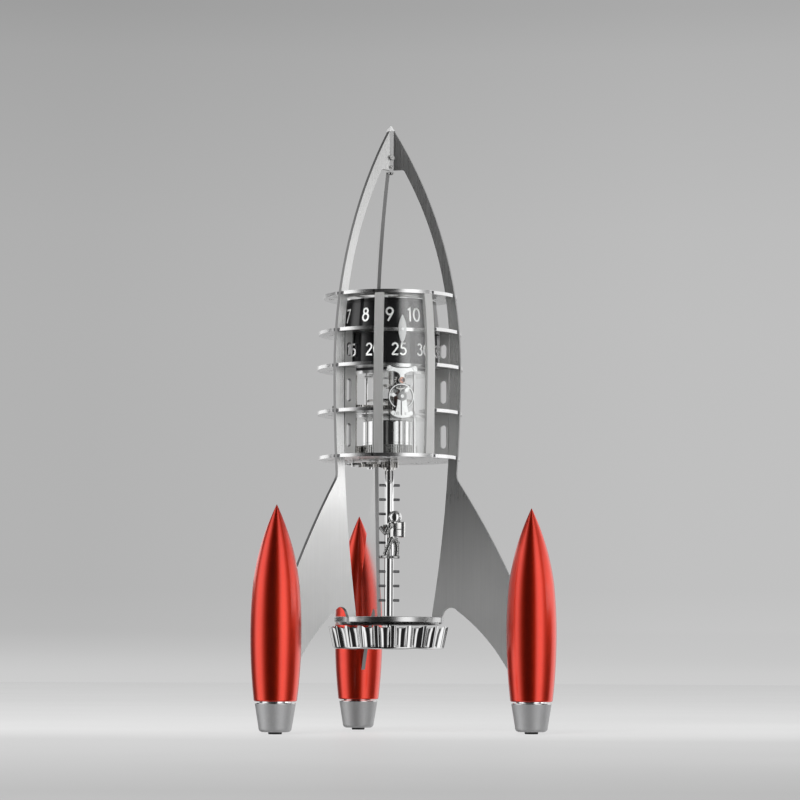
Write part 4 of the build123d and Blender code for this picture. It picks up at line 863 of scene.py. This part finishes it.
# rows of the crown's wall: height, inset of the lower edge, share of the flutes' depth
bands = [(CROWN_LOW, -0.3, 0.0), (CROWN_LOW + 0.25, 0.0, 0.0), (CROWN_LOW + 0.95, 0.0, 0.0)]
bands += [(FLUTE_LOW + (CROWN_HIGH - CROWN_LOW - 1.25) * k / 8, 0.0, 1.0) for k in range(9)]
points, rows = [], []
for height, inset, share in bands:
    rows.append(range(len(points), len(points) + columns))
    for i in range(columns):
        u = (i % per_flute) / per_flute - 0.5
        a = 2 * pi * i / columns
        depth = scoop(u, 11.6) * share
        radius = crown_radius(height) + inset - depth
        drop = depth * 0.65 * max(0.0, (height - CROWN_LOW - 10) / (CROWN_HIGH - CROWN_LOW - 10))
        points.append((radius * cos(a), radius * sin(a), height - drop))
rows.append(range(len(points), len(points) + columns))
points += [(x, y, 67.6) for x, y in circle(33.5, steps=columns)]
add("crown_flutes", raw(points, quads(rows)), crown_chrome, ["winding_crown"], smooth=50)
under = [(37.2, CROWN_LOW), (31.5, CROWN_LOW), (31.0, 57.3), (0, 57.3)]
add("crown_under", lathe(under[::-1], 128), bridge_steel, ["winding_crown"], hides=False)
inside = [(33.5, 67.6), (30.0, 60.5), (6.1, 60.5), (6.1, 70.7), (2.1, 70.7)]
add("crown_inside", lathe(inside, 128), dark_metal, ["winding_crown"], hides=False)

# ---- Window ----------------------------------------------------------------
ARC_LOW, ARC_HIGH, SPLIT = 1000.0, 312.0, 244.0


def outline(height):
    """Radius of the fins' outer edge."""
    bend = ARC_HIGH if height > SPLIT else ARC_LOW
    return 50.2 - bend + sqrt(bend ** 2 - (height - SPLIT) ** 2)


pane, pane_faces = [], []
levels, turns = 40, 24
for inset in (1.8, 2.6):
    for i in range(levels + 1):
        height = 186.2 + (293.8 - 186.2) * i / levels
        for k in range(turns + 1):
            pane.append(heading_point(-17.35 + 34.7 * k / turns, outline(height) - inset, height))
wide = turns + 1
sheet_size = wide * (levels + 1)
for base in (0, sheet_size):
    for i in range(levels):
        for k in range(turns):
            a = base + i * wide + k
            pane_faces.append([a, a + 1, a + wide + 1, a + wide])
for k in (0, turns):
    for i in range(levels):
        a = i * wide + k
        pane_faces.append([a, a + wide, a + wide + sheet_size, a + sheet_size])
add("window_pane", raw(pane, pane_faces), glass, ["window_glass"], smooth=40)

# ---- Painted shade: dark blocks at the ends of the ring rims, where they meet the fins and the posts, stand for the shadow in those gaps ----
for number, height in enumerate(RING_HEIGHTS, start=1):
    rim = outline(height) - 0.45
    sides = (-1, 1)
    shadow_gap_turns = [fin + side * degrees(2.3 / rim) for fin in FIN_HEADINGS.values() for side in sides]
    shadow_gap_turns += [side * (POST_HEADING + degrees(4.1 / rim)) for side in sides]
    ends = []
    for turn in shadow_gap_turns:
        place = Matrix.Translation(heading_point(turn, rim - 0.8, height))
        place = place @ spun(turn)
        ends.append(moved(rounded_box((2.0, 1.6, 2.0), 0.2, 2), place))
    # these dark blocks are painted shadow, not parts of the rings
    add(f"ring_shadow_gaps_{number}", joined(*ends), dark_metal, [f"ring_plate_{number}"], hides=False)

# ---- Astronaut: polished figure in a plain suit, climbing ------------------
FIGURE_Y = -8.2


def bellows(corners, radius, ribs, depth=0.18):
    """Limb with ring-shaped folds along its length."""
    path = smooth_path(corners, 26)
    count = len(path) - 1
    radii = []
    for i in range(count + 1):
        wave = abs(sin(pi * ribs * i / count))
        radii.append(radius * (1 - depth + depth * wave ** 0.6))
    return tube(path, radii, 24)


def ball(radius, place, steps=48):
    """Sphere, turned like everything round here."""
    profile = [(radius * sin(pi * i / 32), -radius * cos(pi * i / 32)) for i in range(33)]
    profile[0], profile[-1] = (0, -radius), (0, radius)
    return moved(lathe(profile, steps), Matrix.Translation(place))


def disc(radius, thick, place, turn):
    """Round button with a raised ring."""
    profile = [(0, 0), (radius, 0), (radius, thick * 0.6), (radius * 0.85, thick), (radius * 0.45, thick)]
    profile += [(radius * 0.4, thick * 0.75), (0, thick * 0.75)]
    return moved(lathe(profile, 32), Matrix.Translation(place) @ turn)


near, far = FIGURE_Y - 2.1, FIGURE_Y + 1.9
face_front = spun(90, "X")
helmet = ball(4.55, (2.4, FIGURE_Y, 145.1))
add("figure_helmet", helmet, chrome, ["astronaut_helmet"])
collar_profile = [(2.2, 0), (3.1, 0), (3.3, 0.5), (3.1, 1.0), (2.2, 1.0)]
collar = shifted(lathe(collar_profile, 40), 1.2, FIGURE_Y, 140.9)
torso = shifted(rounded_box((4.6, 5.6, 10.4), 1.5, 6), -1.0, FIGURE_Y, 136.2)
belt = shifted(lathe([(2.2, 0), (2.9, 0.1), (2.9, 0.8), (2.2, 0.9)], 32), 0.2, FIGURE_Y, 131.1)
hips = ball(2.6, (0.7, FIGURE_Y, 130.6), 32)
chest = shifted(rounded_box((1.0, 3.0, 3.0), 0.3, 2), -2.8, FIGURE_Y, 137.4)
body_parts = [collar, torso, belt, chest]
limb_parts = [
    hips,
    disc(1.9, 0.8, (-1.2, FIGURE_Y - 2.7, 139.3), face_front),
    bellows([(-1.4, near - 0.6, 139.0), (-3.6, near - 0.8, 136.4), (-4.6, near - 0.6, 133.9)], 1.75, 4),
    bellows([(-4.6, near - 0.6, 133.9), (-5.6, near + 1.6, 135.4), (-6.4, -5.0, 137.6)], 1.55, 4),
    ball(1.15, (-6.5, -4.4, 138.2), 24),
    bellows([(-1.2, far + 0.2, 139.6), (-3.6, far + 0.8, 139.0), (-5.0, -4.4, 139.0)], 1.2, 4),
    bellows([(-0.4, near + 0.4, 130.6), (-2.4, near, 125.8), (-4.9, near + 0.2, 119.6)], 1.9, 8),
    bellows([(2.4, far - 0.4, 130.8), (3.7, far - 0.8, 125.2), (3.4, far - 0.6, 118.8)], 2.0, 8),
]
for x, y in ((-5.0, near + 0.2), (3.3, far - 0.6)):
    boot = rounded_box((4.6, 2.7, 1.7), 0.7, 4)
    heel = rounded_box((2.4, 2.6, 2.6), 0.8, 4)
    limb_parts.append(shifted(boot, x - 1.1, y, 118.2))
    limb_parts.append(shifted(heel, x + 0.3, y, 119.0))
add("figure_suit", joined(*body_parts), suit_metal, ["astronaut_body"], smooth=50)
# the limbs' darker chrome is painted shade
add("figure_limbs", joined(*limb_parts), shade_darkened_chrome, ["astronaut_body"], hides=False, smooth=50)
pack_parts = [
    shifted(rounded_box((4.4, 5.8, 4.4), 0.4, 3), 3.9, FIGURE_Y, 139.2),
    shifted(rounded_box((4.4, 5.8, 4.4), 0.4, 3), 3.9, FIGURE_Y, 134.4),
    shifted(rounded_box((1.8, 6.6, 10.6), 0.4, 3), 7.9, FIGURE_Y, 136.7),
]
add("figure_pack", joined(*pack_parts), suit_metal, ["astronaut_body"], hides=False, smooth=50)
pack_frame = [
    shifted(rounded_box((5.9, 5.0, 9.6), 0.3, 3), 3.9, FIGURE_Y, 136.8),
    shifted(rounded_box((2.2, 4.4, 10.2), 0.3, 3), 6.4, FIGURE_Y, 136.7),
]
add("figure_pack_frame", joined(*pack_frame), dark_metal, ["astronaut_body"], hides=False, smooth=50)
magnet = lathe([(0, 0), (1.2, 0), (1.2, 3.0), (0, 3.0)], 24)
add("figure_magnet", magnet, dark_metal, ["astronaut_body"], front(3.25, 0, 136.0), hides=False)


# ---- Stage: pale floor, plain backdrop, studio light -----------------------
def stage_mesh(name, points, faces, material):
    """Piece of the studio, which isn't part of the model."""
    mesh = raw(points, faces)
    mesh.materials.append(material)
    for face in mesh.polygons:
        face.use_smooth = True
    piece = linked(name, mesh)
    return piece


VIEW = heading_point(CAMERA_HEADING, 1.0)       # from the object towards the camera
RIGHT = Vector((-VIEW.y, VIEW.x, 0))


def along(paint, direction, low, high):
    """How far a point lies along a direction, as 0..1 between two distances in metres."""
    where = paint.node("TexCoord").outputs["Object"]
    dot = paint.node("VectorMath", {0: where, 1: tuple(direction)}, operation="DOT_PRODUCT").outputs["Value"]
    return paint.node("MapRange", {"Value": dot, "From Min": low, "From Max": high}).outputs[0]


def glow(paint, tone, strength=1.0):
    """Even light given off by a stage surface."""
    return paint.node("Emission", {"Color": tone, "Strength": strength}).outputs[0]


ROOM = 6.0          # radius of the round backdrop, in metres


def floor_paint():
    """Pale floor: mostly an even glow that falls off in front, and a little real shading."""
    paint = Paint("floor_paint", Roughness=0.38, Specular_IOR_Level=0.35)
    away = along(paint, -VIEW, -1.0, ROOM)
    distances = [(-1.0, 0.455), (-0.78, 0.52), (-0.63, 0.57), (-0.42, 0.62), (-0.23, 0.655),
                 (-0.08, 0.75), (0.07, 0.80), (0.26, 0.81), (0.48, 0.79), (1.07, 0.755), (2.0, 0.705),
                 (3.75, 0.675), (6.0, 0.645)]
    tone = ramp(paint.tree, away, [((d + 1) / (ROOM + 1), v) for d, v in distances])
    mottle = paint.noise(paint.place((3, 3, 3)), detail=2)
    uneven = paint.spread(mottle, 0.985, 1.015)
    tone = paint.node("VectorMath", {0: tone, "Scale": uneven}, operation="SCALE").outputs[0]
    grain = paint.noise(paint.place((400, 400, 400)), detail=3)
    paint.bump(grain, 0.05, 0.0001)
    paint.set(Base_Color=tone)
    mix = paint.node("MixShader", {0: 0.78, 1: paint.shader.outputs[0], 2: glow(paint, tone)})
    paint.surface(mix.outputs[0])
    return paint.material


def backdrop_paint():
    """Even glow: lighter at the foot and towards the right."""
    paint = Paint("backdrop_paint")
    height = along(paint, (0, 0, 1), 0.0, 2.0)
    heights = [(0.0, 0.615), (0.03, 0.600), (0.08, 0.55), (0.125, 0.515), (0.24, 0.488), (0.48, 0.483),
               (0.94, 0.475), (1.173, 0.462), (1.405, 0.435), (1.638, 0.405), (1.755, 0.370), (2.0, 0.34)]
    tone = ramp(paint.tree, height, [(h / 2.0, v) for h, v in heights])
    side = along(paint, RIGHT, -1.6, 1.6)
    sideways = [(0.0, 0.925), (0.26, 0.93), (0.45, 0.99), (0.56, 1.03), (0.72, 1.09), (1.0, 1.12)]
    soft = ramp(paint.tree, side, sideways)
    weight = ramp(paint.tree, height, [(0.0, 0.0), (0.03, 0.1), (0.07, 1.0)])
    share = paint.blend(weight, (1, 1, 1), soft)
    mixed = paint.node("VectorMath", {0: tone, 1: share}, operation="MULTIPLY").outputs[0]
    paint.surface(glow(paint, mixed))
    return paint.material


SIDES = 120         # sides of the round room
floor_rim = [heading_point(360 * i / SIDES, ROOM + 0.02) for i in range(SIDES)]
floor_faces = [[0, i + 1, (i + 1) % SIDES + 1] for i in range(SIDES)]
floor = stage_mesh("floor", [(0, 0, 0)] + floor_rim, floor_faces, floor_paint())
wall = [heading_point(360 * i / SIDES, ROOM, height) for height in (0, 9) for i in range(SIDES)]
wall_faces = [[i, (i + 1) % SIDES, (i + 1) % SIDES + SIDES, i + SIDES] for i in range(SIDES)]
backdrop = stage_mesh("backdrop", wall, wall_faces, backdrop_paint())
for piece in (floor, backdrop):
    piece.visible_glossy = False
    piece.visible_diffuse = False
    piece.visible_shadow = False


def studio_world():
    """Soft tall lights at both sides with dark gaps between them, as a function of direction."""
    world = bpy.data.worlds.new("studio")
    world.use_nodes = True
    bpy.context.scene.world = world
    tree = world.node_tree
    back = tree.nodes["Background"]

    way = add_node(tree, "TexCoord").outputs["Generated"]
    x, y, z = add_node(tree, "SeparateXYZ", {0: way}).outputs
    minus_y = calculate(tree, "MULTIPLY", y, -1.0)
    heading = calculate(tree, "ARCTAN2", x, minus_y)
    turned = calculate(tree, "ADD", heading, radians(-CAMERA_HEADING))
    wrapped = calculate(tree, "WRAP", turned, -pi, pi)
    share = add_node(tree, "MapRange", {"Value": wrapped, "From Min": -pi, "From Max": pi}).outputs[0]
    around = [(-180, 0.6), (-156, 0.5), (-144, 0.06), (-112, 0.06), (-104, 0.6), (-96, 1.05), (-70, 1.05),
              (-54, 0.2), (-42, 0.02), (14, 0.02), (21, 0.8), (28, 1.2), (48, 1.2), (58, 0.4), (72, 0.06),
              (100, 0.06), (108, 0.9), (140, 0.9), (155, 0.5), (180, 0.5)]
    sides = ramp(tree, share, [((a + 180) / 360, v) for a, v in around])
    lift = add_node(tree, "MapRange", {"Value": z, "From Min": -1.0, "From Max": 1.0}).outputs[0]
    up = ramp(tree, lift, [(0.1, 0.75), (0.25, 0.9), (0.49, 1.0), (0.75, 1.0), (0.93, 0.5), (1.0, 0.6)])
    mixed = add_node(tree, "VectorMath", {0: sides, 1: up}, operation="MULTIPLY").outputs[0]
    tree.links.new(mixed, back.inputs["Color"])
    back.inputs["Strength"].default_value = 1.1


studio_world()


def light_card(name, heading, distance, width, low, high, rise):
    """Upright soft panel that only shows in reflections. Its rise lists its level by height in metres."""
    paint = Paint(name)
    tone = ramp(paint.tree, along(paint, (0, 0, 1), 0.0, 1.0), rise)
    paint.surface(glow(paint, tone))
    middle = heading_point(heading, distance)
    side = heading_point(heading + 90, width / 2)
    corners = ((-1, low), (1, low), (1, high), (-1, high))
    points = [middle + side * way + Vector((0, 0, height)) for way, height in corners]
    card = stage_mesh(name, points, [[0, 1, 2, 3]], paint.material)
    card.visible_camera = False
    card.visible_diffuse = False
    card.visible_shadow = False


light_card("side_card", CAMERA_HEADING + 88, 0.9, 0.55, 0.150, 0.9,
           [(0.18, 1.65), (0.30, 0.98), (0.45, 0.93), (0.53, 0.55)])
light_card("rim_card", CAMERA_HEADING - 134, 0.9, 0.60, 0.180, 0.38, [(0.0, 1.1), (1.0, 1.1)])


def key_light(name, heading, height, size, energy):
    """Large soft lamp for the matt surfaces. Metal shows the studio's own lights instead."""
    data = bpy.data.lights.new(name, "AREA")
    data.shape, data.size, data.energy = "DISK", size, energy
    lamp = linked(name, data)
    lamp.location = heading_point(heading, 1.6, height)
    aim = Vector((0, 0, 0.2)) - lamp.location
    lamp.rotation_mode = "QUATERNION"
    lamp.rotation_quaternion = aim.to_track_quat("-Z", "Y")
    lamp.visible_glossy = False


key_light("front_lamp", -30, 1.1, 1.2, 36)

# ---- Camera ----------------------------------------------------------------
scene = bpy.context.scene
scene.view_settings.view_transform = "Standard"
lens = bpy.data.cameras.new("photo_camera")
lens.sensor_width = 36.0
lens.lens = CAMERA_LENS
lens.clip_start, lens.clip_end = 0.05, 40.0
camera = linked("photo_camera", lens)
spot = VIEW * CAMERA_DISTANCE
camera.location = (spot.x, spot.y, CAMERA_HEIGHT)
aim = RIGHT * AIM_ASIDE + Vector((0, 0, CAMERA_HEIGHT + CAMERA_DISTANCE * AIM_RISE))
look = (aim - camera.location).to_track_quat("-Z", "Y")
camera.rotation_mode = "QUATERNION"
camera.rotation_quaternion = look @ Matrix.Rotation(radians(CAMERA_ROLL), 3, "Z").to_quaternion()
scene.camera = camera
